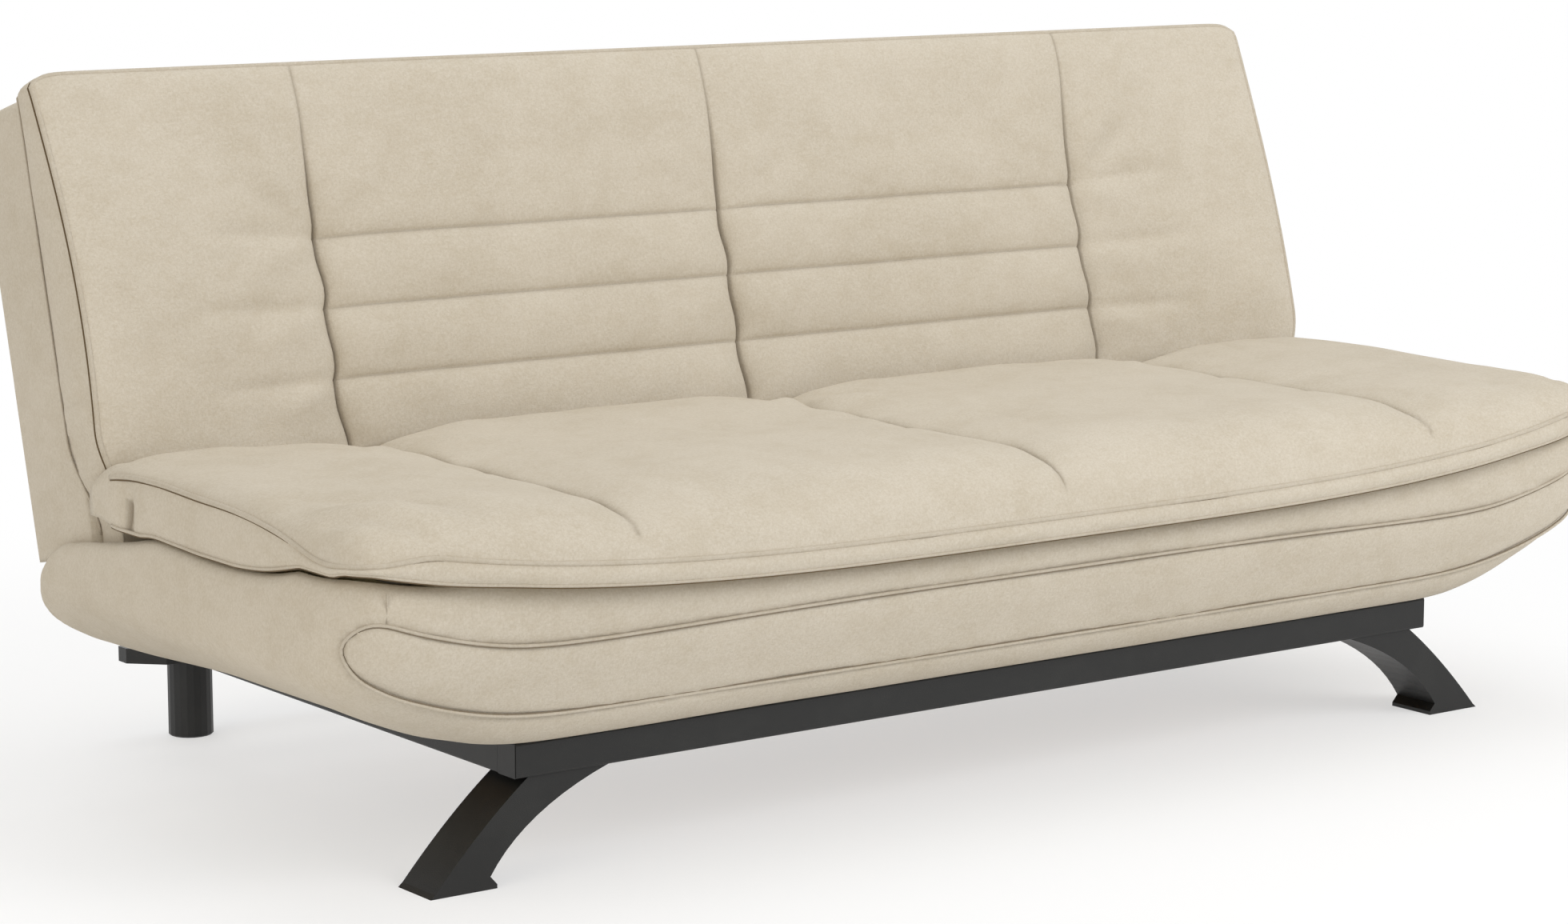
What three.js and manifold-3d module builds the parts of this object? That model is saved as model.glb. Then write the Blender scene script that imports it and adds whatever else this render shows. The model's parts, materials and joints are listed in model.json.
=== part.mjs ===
// Click clack sofa bed: a splayed-leg steel base carries a boat-shaped upholstered tub,
// a tufted seat pad that lifts at its rear hinge, and a padded back that folds down flat.
// Millimetres, +Z up, the front of the sofa faces -Y, origin on the floor under the middle.
import * as THREE from 'three';
import { mergeVertices } from 'three/addons/utils/BufferGeometryUtils.js';
import Module from 'manifold-3d';

const wasm = await Module();
wasm.setup();

// Driving dimensions
const gap = 0.3;
const cutOverrun = 2;
const hingeRunningGap = 0.05;
const weldTolerance = 1e-5;

// Half-width of the tub's floor, which the base, the tub's ends and the cushions follow
const tubFloorHalfWidth = 770;

// Steel base frame
const railEndInset = 43;
const railOuterHalfWidth = tubFloorHalfWidth - railEndInset;
const railFrontY = -412;
const railRearY = 527;
const railBottomZ = 125.5;
const railTopZ = 167;
const railWidth = 40;
const railWall = 2.5;
const railCornerRadius = 3;
const crossRailCentreY = 60;

// Legs
const frontLegDepth = 72;
const frontLegSetback = 6.5;
const legTopInset = 21;
const legTopWidth = 112;
const legFootSplay = 53;
const legFootWidth = 74;
const legTopOuterX = railOuterHalfWidth - legTopInset;
const legTopInnerX = legTopOuterX - legTopWidth;
const legFootInnerX = legTopOuterX + legFootSplay;
const legFootOuterX = legFootInnerX + legFootWidth;
const legLip = 6;
const legLipHeight = 5;
const legHeelSpur = 9;
const legHeelHeight = 15;
const legOuterBendShares = [0.5, 0.6];
const legInnerBendShares = [0.72, 0.64];
const rearLegInset = 62;
const rearLegCentreX = railOuterHalfWidth - rearLegInset;
const rearLegCentreY = 497;
const rearLegRadius = 30;
const rearLegEdge = 2;
const rearBlockHeight = 20;
const rearBlockOverhang = 27;
const rearBlockWidth = 158;
const rearBlockOuterX = railOuterHalfWidth + rearBlockOverhang;
const rearBlockInnerX = rearBlockOuterX - rearBlockWidth;
const rearBlockFrontY = 466;
const rearBlockChamfer = 39;

// Tub: half-width and height of the end section, depth and height of the front section
const tubRearY = 298;
const tubFloorFrontY = -400;
const tubEndFlares = [79, 118, 151, 178, 196, 210, 219];
const tubEndHalfWidths = tubEndFlares.map((flare) => tubFloorHalfWidth + flare);
const tubHalfWidth = tubEndHalfWidths.at(-1);
const tubHullDraws = [40, 42, 36, 26, 13, 3, 0];
const tubHullStartY = 300;
const tubHullFullY = -100;
const tubEndHeights = [179, 188, 203, 220, 240, 261, 300];
const tubEndRimInset = 4;
const tubFrontDepths = [428, 440, 452, 463, 474, 484, 493];
const tubFrontHeights = [171, 182, 200, 222, 245, 268, 300];
const tubFrontRimLean = 5;
const tubWall = 20;
const tubRimRound = 9;
const tubCornerReach = 147;
const tubCornerX = tubHalfWidth - tubCornerReach;
const tubCornerY = -358;
const tubCornerPower = 0.62;
const tubCornerSteps = 6;
const tubFrontSteps = 6;
const rimMiddleZ = 341;
const rimEndZ = 399;
const rimRisePower = 3.5;
const rimRiseInset = 29;
const rimRiseEndX = tubHalfWidth - rimRiseInset;
// Heights of the rim along each end, from the front corner to the rounded rear corner
const endRimYs = [-380, -305, -198, -86, -22, 40, 110, 180, 226, 262, 286, 298];
const endRimZs = [392, 377, 369, 372, 373, 362, 351, 341, 331, 310, 281, 246];
const floorPanelThickness = 8;
const ribThickness = 18;
const frontRibY = -355;
const middleRibY = -150;
const rearRibY = 125;
const ribTopZ = 295.6;
const rearRibTopZ = 250;
const ribClearance = 3;
const battenWidth = 18;
const battenClearance = 11;
const battenRearY = 92;
const battenFrontY = -330;

// Back, in its own frame: z runs up the back, y to the rear, both from the recline pivot
const backPivotY = 188;
const backPivotZ = 343;
const backTilt = THREE.MathUtils.degToRad(15);
const shellEndInset = 26;
const shellHalfWidth = tubHalfWidth - shellEndInset;
const shellFrontY = -20;
const shellRearY = 150;
const shellBottomZ = -18;
const shellTopZ = 526;
const shellEdgeRound = 16;
const shellSideWall = 40;
const shellTopWall = 18;
const shellCornerTopZ = 118;
const shellCornerFade = 90;
const shellFadeShares = [0.33, 0.67];
const shellDrawnShares = [0.7, 0.25];
const shellRoundShare = 0.3;
const shellCornerYs = [50, 68, 88, 108, 128, 140];
const shellClearance = 6;
const backBoardRearY = 100;
const backBoardThickness = 20;
const backBoardFrontY = 5;
const backPanelThickness = 4;
const backPostInset = 19;
const backRailInset = 4;
const strapWidth = 60;
const strapThickness = 2;
const strapCount = 5;
const strapSpacing = 310;
const backFoamSeat = 0.8;

// Back cushion
const cushionEndInset = 7;
const cushionHalfWidth = tubHalfWidth - cushionEndInset;
const cushionTopZ = 561;
const cushionRollRadius = 85;
const cushionEdgeDepth = 66;
const cushionEdgeBulge = 41;
const cushionEdgeRun = 150;
const cushionSeamDepth = 47;
const cushionCrownDepth = 84;
const cushionDrawIn = 8;
const cushionRollInset = 27;
const seamSpacing = 626;
const seamWidth = 34;
const channelFirstZ = 75;
const channelPitch = 90;
const channelCount = 4;
const channelWidth = 26;
const cushionEdgeBand = 95;
const cushionEndBand = 200;
const cushionRollBlendZ = 12;
const cushionColumns = 44;
const seamSteepness = 4;
const cushionRollShares = [0, 0.06, 0.2, 0.42, 0.64, 0.84];
const cushionTopShares = [0.22, 0.48, 0.72, 0.88, 0.97, 1];

// Seat pad, hinged at its rear end
const seatPivotY = 63;
const seatPivotZ = 385;
const seatRollRadius = 45;
const seatEndInset = 5;
const seatHalfWidth = tubHalfWidth - seatEndInset;
const seatFrontY = -527;
const seatUndersideZ = 376;
const seatUndersideArch = 0.6;
const seatEndRise = 11;
const seatCrown = 28;
const seatCrownRun = 50;
const seatSkirtLift = 6;
const seatSkirtHeight = 24;
const seatEdgeBand = 95;
const seatSeamDepth = 24;
const seatSeamWidth = 60;
const seatCornerRadius = 90;
const seatCornerInset = 24;
const seatCornerSetback = 34;
const seatSkirtWidth = 44;
const seatSkirtRise = 30;
const seatCornerDroop = 20;
const seatDroopInset = 84;
const seatCornerPower = 10;
const seatColumns = 44;
const seatRowShares = [0, 0.03, 0.08, 0.128, 0.2, 0.32, 0.46, 0.6, 0.75, 0.87, 0.93, 0.972, 1];
const seatFoamInset = 22;
const seatFoamFrontY = -440;
const seatFoamRearY = 29;
const seatBoardThickness = 20;
const seatBoardBottomZ = 296;
const seatBoardTopZ = 340;
const seatFrameEndClearance = 18;
const seatFrameFrontY = -446;
const seatFrameRearY = 30;
const springWire = 2;
const springSides = 5;
const springHalfSwing = 24;
const springBends = 9;
const springStepsPerBend = 4;
const springCount = 5;
const springSpacing = 330;

// Hinge brackets
const bracketEndInset = 66;
const bracketX = tubFloorHalfWidth - bracketEndInset;
const bracketThickness = 6;
const armThickness = 5;
const lobeRadius = 18;
const seatLobeRadius = 17;
const pinRadius = 5;
const pinHeadRadius = 9;
const pinHeadHeight = 3;
const bracketBridgeHeight = 36;
const bracketFootWidth = 36;
const bracketFootLength = 62;
const bracketFootThickness = 4;
const armFlangeWidth = 50;
const slotMargin = 9;
const backSlotTopZ = 25;
const backArmRearY = 22;
const seatNotchTopClearance = 4;
const roundSteps = 10;
const pinSides = 48;

// Finishes
const fabric = () => new THREE.MeshStandardMaterial({ color: 0xc9bea7, roughness: 0.95, metalness: 0 });
const foam = () => new THREE.MeshStandardMaterial({ color: 0xe6dcb4, roughness: 0.9, metalness: 0 });
const wood = () => new THREE.MeshStandardMaterial({ color: 0xb98f5e, roughness: 0.75, metalness: 0 });
const blackPaint = () => new THREE.MeshStandardMaterial({
  color: 0x262622, roughness: 0.45, metalness: 0.1,
});
const steel = () => new THREE.MeshStandardMaterial({ color: 0x9a9c9e, roughness: 0.35, metalness: 0.9 });
const webbing = () => new THREE.MeshStandardMaterial({ color: 0x3b3a38, roughness: 0.9, metalness: 0 });

// Makes a solid for joining and cutting from a closed geometry.
function toSolid(geometry) {
  const bare = geometry.clone();
  bare.deleteAttribute('normal');
  bare.deleteAttribute('uv');
  const merged = mergeVertices(bare, weldTolerance);
  const mesh = new wasm.Mesh({
    numProp: 3,
    vertProperties: new Float32Array(merged.attributes.position.array),
    triVerts: new Uint32Array(merged.index.array),
  });
  return new wasm.Manifold(mesh);
}

// Turns a joined or cut solid back into a geometry.
function toGeometry(solid) {
  const mesh = solid.getMesh();
  const geometry = new THREE.BufferGeometry();
  geometry.setAttribute('position', new THREE.BufferAttribute(new Float32Array(mesh.vertProperties), 3));
  geometry.setIndex(new THREE.BufferAttribute(new Uint32Array(mesh.triVerts), 1));
  geometry.computeVertexNormals();
  return geometry;
}

function cut(body, ...tools) {
  return toGeometry(tools.reduce((rest, tool) => rest.subtract(toSolid(tool)), toSolid(body)));
}

function join(body, ...others) {
  return toGeometry(others.reduce((whole, other) => whole.add(toSolid(other)), toSolid(body)));
}

// A box given by its limits on each axis.
function block(lowX, highX, lowY, highY, lowZ, highZ) {
  const geometry = new THREE.BoxGeometry(highX - lowX, highY - lowY, highZ - lowZ);
  geometry.translate((lowX + highX) / 2, (lowY + highY) / 2, (lowZ + highZ) / 2);
  return geometry;
}

// A plate whose outline is given as [y, z] points and whose thickness runs along +X from startX.
function sidePlate(outline, startX, thickness, holes = []) {
  const shape = new THREE.Shape(outline.map(([y, z]) => new THREE.Vector2(y, z)));
  for (const hole of holes) {
    const path = new THREE.Path();
    path.absarc(hole.y, hole.z, hole.radius, 0, 2 * Math.PI, true);
    shape.holes.push(path);
  }
  const geometry = new THREE.ExtrudeGeometry(shape, {
    depth: thickness, bevelEnabled: false, curveSegments: pinSides / 2,
  });
  const turn = new THREE.Matrix4().set(0, 0, 1, startX, 1, 0, 0, 0, 0, 1, 0, 0, 0, 0, 0, 1);
  geometry.applyMatrix4(turn);
  return geometry;
}

// A plate whose outline is given as [x, z] points and whose thickness runs along +Y from startY.
function frontPlate(outline, startY, thickness) {
  const shape = new THREE.Shape(outline.map(([x, z]) => new THREE.Vector2(x, z)));
  const geometry = new THREE.ExtrudeGeometry(shape, { depth: thickness, bevelEnabled: false });
  const turn = new THREE.Matrix4().set(1, 0, 0, 0, 0, 0, -1, startY + thickness, 0, 1, 0, 0, 0, 0, 0, 1);
  geometry.applyMatrix4(turn);
  return geometry;
}

// A plate whose outline is given as [x, y] points and whose thickness runs along +Z from startZ.
function flatPlate(outline, startZ, thickness) {
  const shape = new THREE.Shape(outline.map(([x, y]) => new THREE.Vector2(x, y)));
  const geometry = new THREE.ExtrudeGeometry(shape, { depth: thickness, bevelEnabled: false });
  geometry.translate(0, 0, startZ);
  return geometry;
}

// Points on an arc of a side outline, from one angle to another, in degrees.
function arcPoints(centreY, centreZ, radius, startDegrees, endDegrees, steps) {
  const points = [];
  for (let i = 0; i <= steps; i += 1) {
    const angle = THREE.MathUtils.degToRad(startDegrees + ((endDegrees - startDegrees) * i) / steps);
    points.push([centreY + radius * Math.cos(angle), centreZ + radius * Math.sin(angle)]);
  }
  return points;
}

// A closed body through rings of equal point counts, each end closed by a fan.
function loft(rings) {
  const count = rings[0].length;
  const positions = rings.flat(2);
  const indices = [];
  for (let r = 0; r + 1 < rings.length; r += 1) {
    for (let k = 0; k < count; k += 1) {
      const next = (k + 1) % count;
      const a = r * count + k;
      const b = r * count + next;
      indices.push(a, b, b + count, a, b + count, a + count);
    }
  }
  const ends = [[rings[0], 0, true], [rings.at(-1), (rings.length - 1) * count, false]];
  for (const [ring, first, flip] of ends) {
    const flat = ring.map(([x, y, z]) => new THREE.Vector3(x, y, z));
    const centre = flat.reduce((sum, p) => sum.add(p), new THREE.Vector3()).divideScalar(count);
    const spread = [0, 1, 2].map((axis) => Math.max(
      ...ring.map((p) => Math.abs(p[axis] - centre.getComponent(axis))),
    ));
    const thin = spread.indexOf(Math.min(...spread));
    const [u, v] = [0, 1, 2].filter((axis) => axis !== thin);
    const contour = ring.map((p) => new THREE.Vector2(p[u], p[v]));
    const clockwise = THREE.ShapeUtils.isClockWise(contour);
    for (const face of THREE.ShapeUtils.triangulateShape(contour, [])) {
      const [a, b, c] = face.map((index) => index + first);
      const turned = clockwise === flip;
      indices.push(...(turned ? [a, b, c] : [a, c, b]));
    }
  }
  return closedGeometry(positions, indices);
}

// Builds an indexed geometry and turns it inside out if its faces point inward.
function closedGeometry(positions, indices) {
  const point = (index) => new THREE.Vector3().fromArray(positions, 3 * index);
  let volume = 0;
  for (let i = 0; i < indices.length; i += 3) {
    volume += point(indices[i]).dot(point(indices[i + 1]).cross(point(indices[i + 2])));
  }
  const faces = volume < 0 ? indices.slice().reverse() : indices;
  const geometry = new THREE.BufferGeometry();
  geometry.setAttribute('position', new THREE.Float32BufferAttribute(positions, 3));
  geometry.setIndex(faces);
  return geometry;
}

// A pad between an upper and a lower surface, both given over columns and rows from 0 to 1.
// A flat lower side is closed by a fan instead of a grid.
function pad(columns, rows, upper, lower, flatLower) {
  const positions = [];
  const indices = [];
  const across = columns + 1;
  for (const surface of [upper, lower]) {
    for (let j = 0; j <= rows; j += 1) {
      for (let i = 0; i <= columns; i += 1) {
        positions.push(...surface(i / columns, j / rows));
      }
    }
  }
  const layer = across * (rows + 1);
  for (let j = 0; j < rows; j += 1) {
    for (let i = 0; i < columns; i += 1) {
      const a = j * across + i;
      const c = a + across + 1;
      indices.push(a, a + 1, c, a, c, c - 1);
      if (!flatLower) {
        indices.push(a + layer, c + layer, a + 1 + layer, a + layer, c - 1 + layer, c + layer);
      }
    }
  }
  const edge = [];
  for (let i = 0; i < columns; i += 1) edge.push(i);
  for (let j = 0; j < rows; j += 1) edge.push(j * across + columns);
  for (let i = columns; i > 0; i -= 1) edge.push(rows * across + i);
  for (let j = rows; j > 0; j -= 1) edge.push(j * across);
  const hub = positions.length / 3;
  for (let axis = 0; axis < 3; axis += 1) {
    const values = edge.map((index) => positions[3 * (layer + index) + axis]);
    positions.push(values.reduce((sum, value) => sum + value, 0) / edge.length);
  }
  edge.forEach((a, k) => {
    const b = edge[(k + 1) % edge.length];
    indices.push(b, a, a + layer, b, a + layer, b + layer);
    if (flatLower) indices.push(b + layer, a + layer, hub);
  });
  return mergedGeometry(positions, indices);
}

// Keeps only the points that faces use, so that no loose point is left over.
function mergedGeometry(positions, indices) {
  const geometry = closedGeometry(positions, indices).toNonIndexed();
  const merged = mergeVertices(geometry, weldTolerance);
  merged.computeVertexNormals();
  return merged;
}

const smooth = (value, start, end) => THREE.MathUtils.smoothstep(value, start, end);
const mix = THREE.MathUtils.lerp;

// Height or width read along a list of places, straight between its points.
function readAlong(places, values, place) {
  if (place <= places[0]) return values[0];
  for (let i = 1; i < places.length; i += 1) {
    if (place <= places[i]) {
      return mix(values[i - 1], values[i], (place - places[i - 1]) / (places[i] - places[i - 1]));
    }
  }
  return values.at(-1);
}

// A dent along a seam: 1 on the seam, falling to 0 at its width.
const dent = (distance, width) => Math.exp(-((distance / width) ** 2) * seamSteepness);

const sofa = new THREE.Group();

function addPiece(parent, name, geometry, material) {
  const mesh = new THREE.Mesh(geometry, material);
  mesh.name = name;
  parent.add(mesh);
  return mesh;
}

const sides = [['left', -1], ['right', 1]];

// A mirrored copy across the middle of the sofa, with its faces still pointing out.
function mirrored(geometry) {
  const copy = geometry.clone();
  copy.scale(-1, 1, 1);
  const source = copy.index ? copy.toNonIndexed() : copy;
  const array = source.attributes.position.array;
  const triangle = 9;
  for (let i = 0; i < array.length; i += triangle) {
    for (let axis = 0; axis < 3; axis += 1) {
      const held = array[i + 3 + axis];
      array[i + 3 + axis] = array[i + 6 + axis];
      array[i + 6 + axis] = held;
    }
  }
  source.deleteAttribute('normal');
  source.deleteAttribute('uv');
  const merged = mergeVertices(source, weldTolerance);
  merged.computeVertexNormals();
  return merged;
}

function addPair(parent, name, geometry, material) {
  for (const [side, sign] of sides) {
    addPiece(parent, `${name}_${side}`, sign > 0 ? geometry : mirrored(geometry), material());
  }
}

// Rectangular tube along X, open at both ends.
function tubeAlongX(halfLength, lowY, lowZ) {
  const outer = roundedOutline(lowY, lowZ, railWidth, railTopZ - railBottomZ, railCornerRadius);
  const tube = sidePlate(outer, -halfLength, 2 * halfLength);
  const hollow = block(
    -halfLength - cutOverrun, halfLength + cutOverrun,
    lowY + railWall, lowY + railWidth - railWall, lowZ + railWall, railTopZ - railWall,
  );
  return cut(tube, hollow);
}

// Rectangular tube along Y, open at both ends.
function tubeAlongY(lowX, lowY, highY) {
  const outer = roundedOutline(lowX, railBottomZ, railWidth, railTopZ - railBottomZ, railCornerRadius);
  const tube = frontPlate(outer, lowY, highY - lowY);
  const hollow = block(
    lowX + railWall, lowX + railWidth - railWall,
    lowY - cutOverrun, highY + cutOverrun, railBottomZ + railWall, railTopZ - railWall,
  );
  return cut(tube, hollow);
}

function roundedOutline(lowA, lowB, sizeA, sizeB, radius) {
  const corners = [
    [lowA + sizeA - radius, lowB + radius, -90], [lowA + sizeA - radius, lowB + sizeB - radius, 0],
    [lowA + radius, lowB + sizeB - radius, 90], [lowA + radius, lowB + radius, 180],
  ];
  return corners.flatMap(([a, b, start]) => arcPoints(a, b, radius, start, start + 90, 2));
}

function addBaseFrame() {
  const sideStart = railFrontY + railWidth + gap;
  const sideEnd = railRearY - railWidth - gap;
  const innerHalf = railOuterHalfWidth - railWidth;
  addPiece(sofa, 'front_rail', tubeAlongX(railOuterHalfWidth, railFrontY, railBottomZ), blackPaint());
  const rearRail = tubeAlongX(railOuterHalfWidth, railRearY - railWidth, railBottomZ);
  addPiece(sofa, 'rear_rail', rearRail, blackPaint());
  const crossRail = tubeAlongX(innerHalf - gap, crossRailCentreY - railWidth / 2, railBottomZ);
  addPiece(sofa, 'cross_rail', crossRail, blackPaint());
  addPair(sofa, 'side_rail', tubeAlongY(innerHalf, sideStart, sideEnd), blackPaint);
}

// Curved front leg: a thick splayed blade with a flared foot.
function addLegs() {
  const top = railBottomZ - gap;
  const bend = (upperX, footX, footZ, [acrossShare, upShare]) => new THREE.Vector2(
    mix(upperX, footX, acrossShare), mix(footZ, top, upShare),
  );
  const outerRun = new THREE.QuadraticBezierCurve(
    new THREE.Vector2(legTopOuterX, top),
    bend(legTopOuterX, legFootOuterX, legLipHeight, legOuterBendShares),
    new THREE.Vector2(legFootOuterX, legLipHeight),
  );
  const innerRun = new THREE.QuadraticBezierCurve(
    new THREE.Vector2(legFootInnerX, legHeelHeight),
    bend(legTopInnerX, legFootInnerX, legHeelHeight, legInnerBendShares),
    new THREE.Vector2(legTopInnerX, top),
  );
  const outline = [
    ...outerRun.getPoints(roundSteps).map((p) => [p.x, p.y]),
    [legFootOuterX + legLip, 0],
    [legFootInnerX - legHeelSpur, 0],
    [legFootInnerX - legHeelSpur, legLipHeight],
    ...innerRun.getPoints(roundSteps).map((p) => [p.x, p.y]),
  ];
  addPair(sofa, 'front_leg', frontPlate(outline, railFrontY + frontLegSetback, frontLegDepth), blackPaint);

  const blockTop = railBottomZ - gap;
  const blockBottom = blockTop - rearBlockHeight;
  const blockOutline = [
    [rearBlockInnerX, rearBlockFrontY],
    [rearBlockOuterX - rearBlockChamfer, rearBlockFrontY],
    [rearBlockOuterX, rearBlockFrontY + rearBlockChamfer],
    [rearBlockOuterX, railRearY],
    [rearBlockInnerX, railRearY],
  ];
  addPair(sofa, 'rear_leg_block', flatPlate(blockOutline, blockBottom, rearBlockHeight), blackPaint);

  const legTop = blockBottom - gap;
  const profile = [
    [0, 0], [rearLegRadius - rearLegEdge, 0], [rearLegRadius, rearLegEdge],
    [rearLegRadius, legTop], [0, legTop],
  ].map(([r, z]) => new THREE.Vector2(r, z));
  const leg = new THREE.LatheGeometry(profile, 2 * roundSteps);
  leg.rotateX(Math.PI / 2);
  leg.translate(rearLegCentreX, rearLegCentreY, 0);
  addPair(sofa, 'rear_leg', leg, blackPaint);
}

const frontRimAt = (x) => mix(
  rimMiddleZ, rimEndZ, Math.min(Math.abs(x) / rimRiseEndX, 1) ** rimRisePower,
);
const endRimAt = (y) => readAlong(endRimYs, endRimZs, y);

const battenHalfWidth = tubHalfWidth - tubWall - battenClearance;
const seatFrameHalfWidth = battenHalfWidth - battenWidth - seatFrameEndClearance;
const seatFoamHalfWidth = seatFrameHalfWidth - seatFoamInset;

// Cross section of the tub wall as [out, z] points: up the outside, over the rim, down the inside.
// Under a low rim the levels close up, and each keeps the width that the wall has at its height.
function wallSection(floorOut, outs, heights, rimShift, rim) {
  const base = railTopZ + gap;
  const top = Math.min(heights.at(-1), rim - 3 * tubRimRound);
  const levels = heights.map((z) => mix(base, top, (z - base) / (heights.at(-1) - base)));
  const widths = levels.map((z) => readAlong([base, ...heights], [floorOut, ...outs], z));
  const outside = [[floorOut, base], ...levels.map((z, k) => [widths[k], z])];
  const rimOut = readAlong([base, ...heights], [floorOut, ...outs], rim - tubRimRound) + rimShift;
  const crest = [
    [rimOut, rim - tubRimRound], [rimOut - tubRimRound, rim], [rimOut - tubWall, rim - tubRimRound],
  ];
  const inside = outside.map(([out, z], k) => {
    const [previousOut, previousZ] = outside[Math.max(k - 1, 0)];
    const [nextOut, nextZ] = outside[Math.min(k + 1, outside.length - 1)];
    const run = Math.hypot(nextOut - previousOut, nextZ - previousZ);
    return [out - (tubWall * (nextZ - previousZ)) / run, z + (tubWall * (nextOut - previousOut)) / run];
  });
  inside[0] = [floorOut, base + floorPanelThickness];
  return [...outside, ...crest, ...inside.reverse()];
}

// Section of an end, whose lower levels are drawn in towards the front like a boat's hull.
const endSection = (y) => {
  const drawn = 1 - smooth(y, tubHullFullY, tubHullStartY);
  const outs = tubEndHalfWidths.map((out, k) => out - tubHullDraws[k] * drawn);
  return wallSection(tubFloorHalfWidth, outs, tubEndHeights, -tubEndRimInset, endRimAt(y));
};

// Inside half-width of the tub's rear ends at a height, the least along them.
function tubInsideHalfWidthAt(z) {
  const rearYs = endRimYs.filter((y) => y > seatPivotY && endRimAt(y) > z - tubRimRound);
  return Math.min(...rearYs.map((y) => {
    const inside = endSection(y).slice(-tubEndHeights.length - 2, -1).reverse();
    return readAlong(inside.map(([, height]) => height), inside.map(([out]) => out), z);
  }));
}

// Boat-shaped tub wall: one ring of the section at each place around the three closed sides.
function tubWallGeometry() {
  const frontRing = (x) => wallSection(
    -tubFloorFrontY, tubFrontDepths, tubFrontHeights, tubFrontRimLean, frontRimAt(x),
  );
  const half = [];
  for (const y of endRimYs.slice(1).reverse()) {
    half.push(endSection(y).map(([out, z]) => [out, y, z]));
  }
  const endCorner = endSection(tubCornerY);
  for (let i = 0; i <= tubCornerSteps; i += 1) {
    const angle = (Math.PI / 2) * (i / tubCornerSteps);
    const reachX = Math.max(Math.cos(angle), 0) ** tubCornerPower;
    const reachY = Math.max(Math.sin(angle), 0) ** tubCornerPower;
    const share = Math.sin(angle) ** 2;
    const frontCorner = frontRing(mix(tubHalfWidth, tubCornerX, share));
    half.push(endCorner.map(([out, z], k) => [
      out - tubCornerReach + tubCornerReach * reachX,
      -(-tubCornerY + (frontCorner[k][0] + tubCornerY) * reachY),
      mix(z, frontCorner[k][1], share),
    ]));
  }
  for (let i = 1; i <= tubFrontSteps; i += 1) {
    const share = 1 - i / tubFrontSteps;
    half.push(frontRing(tubCornerX * share).map(([out, z], k) => [
      (endCorner[k][0] - tubCornerReach) * share, -out, z,
    ]));
  }
  const other = half.slice(0, -1).reverse().map((ring) => ring.map(([x, y, z]) => [-x, y, z]));
  return loft([...half, ...other]);
}

// Plywood former across the tub, following its section inside the wall.
function ribOutline(y, top) {
  const bottom = railTopZ + floorPanelThickness + 2 * gap;
  const count = tubEndHeights.length;
  const inside = endSection(y).slice(-count - 1, -1).reverse();
  const inner = inside.map(([out, z]) => [out - ribClearance, z + ribClearance]);
  const outs = inner.map(([out]) => out);
  const heights = inner.map(([, z]) => z);
  const right = [
    [tubFloorHalfWidth - ribClearance, bottom],
    ...inner.filter(([, z]) => z < top - ribClearance),
    [readAlong(heights, outs, top), top],
  ];
  return [...right, ...right.slice().reverse().map(([x, z]) => [-x, z])];
}

// Outline of the floor panel, just inside the foot of the tub's wall.
function floorOutline() {
  const reachX = tubCornerReach - gap;
  const reachY = tubCornerY - tubFloorFrontY - gap;
  const right = [[tubFloorHalfWidth - gap, tubRearY - tubWall]];
  for (let i = 0; i <= tubCornerSteps; i += 1) {
    const angle = (Math.PI / 2) * (i / tubCornerSteps);
    right.push([
      tubFloorHalfWidth - tubCornerReach + reachX * Math.max(Math.cos(angle), 0) ** tubCornerPower,
      tubCornerY - reachY * Math.max(Math.sin(angle), 0) ** tubCornerPower,
    ]);
  }
  return [...right, ...right.slice().reverse().map(([x, y]) => [-x, y])];
}

function addTub() {
  addPiece(sofa, 'base_cover', tubWallGeometry(), fabric());
  const floor = flatPlate(floorOutline(), railTopZ + gap, floorPanelThickness);
  addPiece(sofa, 'floor_panel', floor, wood());
  for (const [name, y] of [['front_rib', frontRibY], ['middle_rib', middleRibY]]) {
    addPiece(sofa, name, frontPlate(ribOutline(y, ribTopZ), y, ribThickness), wood());
  }
  const bridgeNotch = (sign) => block(
    sign * bracketX - (sign < 0 ? bracketThickness + gap : gap),
    sign * bracketX + (sign > 0 ? bracketThickness + gap : gap),
    rearRibY - cutOverrun, rearRibY + ribThickness + cutOverrun,
    railTopZ, railTopZ + floorPanelThickness + bracketBridgeHeight + 4 * gap,
  );
  const rearRib = frontPlate(ribOutline(rearRibY, rearRibTopZ), rearRibY, ribThickness);
  addPiece(sofa, 'rear_rib', cut(rearRib, bridgeNotch(-1), bridgeNotch(1)), wood());
  const battenTop = Math.min(...[battenFrontY, battenRearY].map(endRimAt)) - tubRimRound;
  const batten = block(
    battenHalfWidth - battenWidth, battenHalfWidth, battenFrontY, battenRearY,
    ribTopZ + gap, battenTop,
  );
  addPair(sofa, 'end_batten', batten, wood);
}

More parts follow.
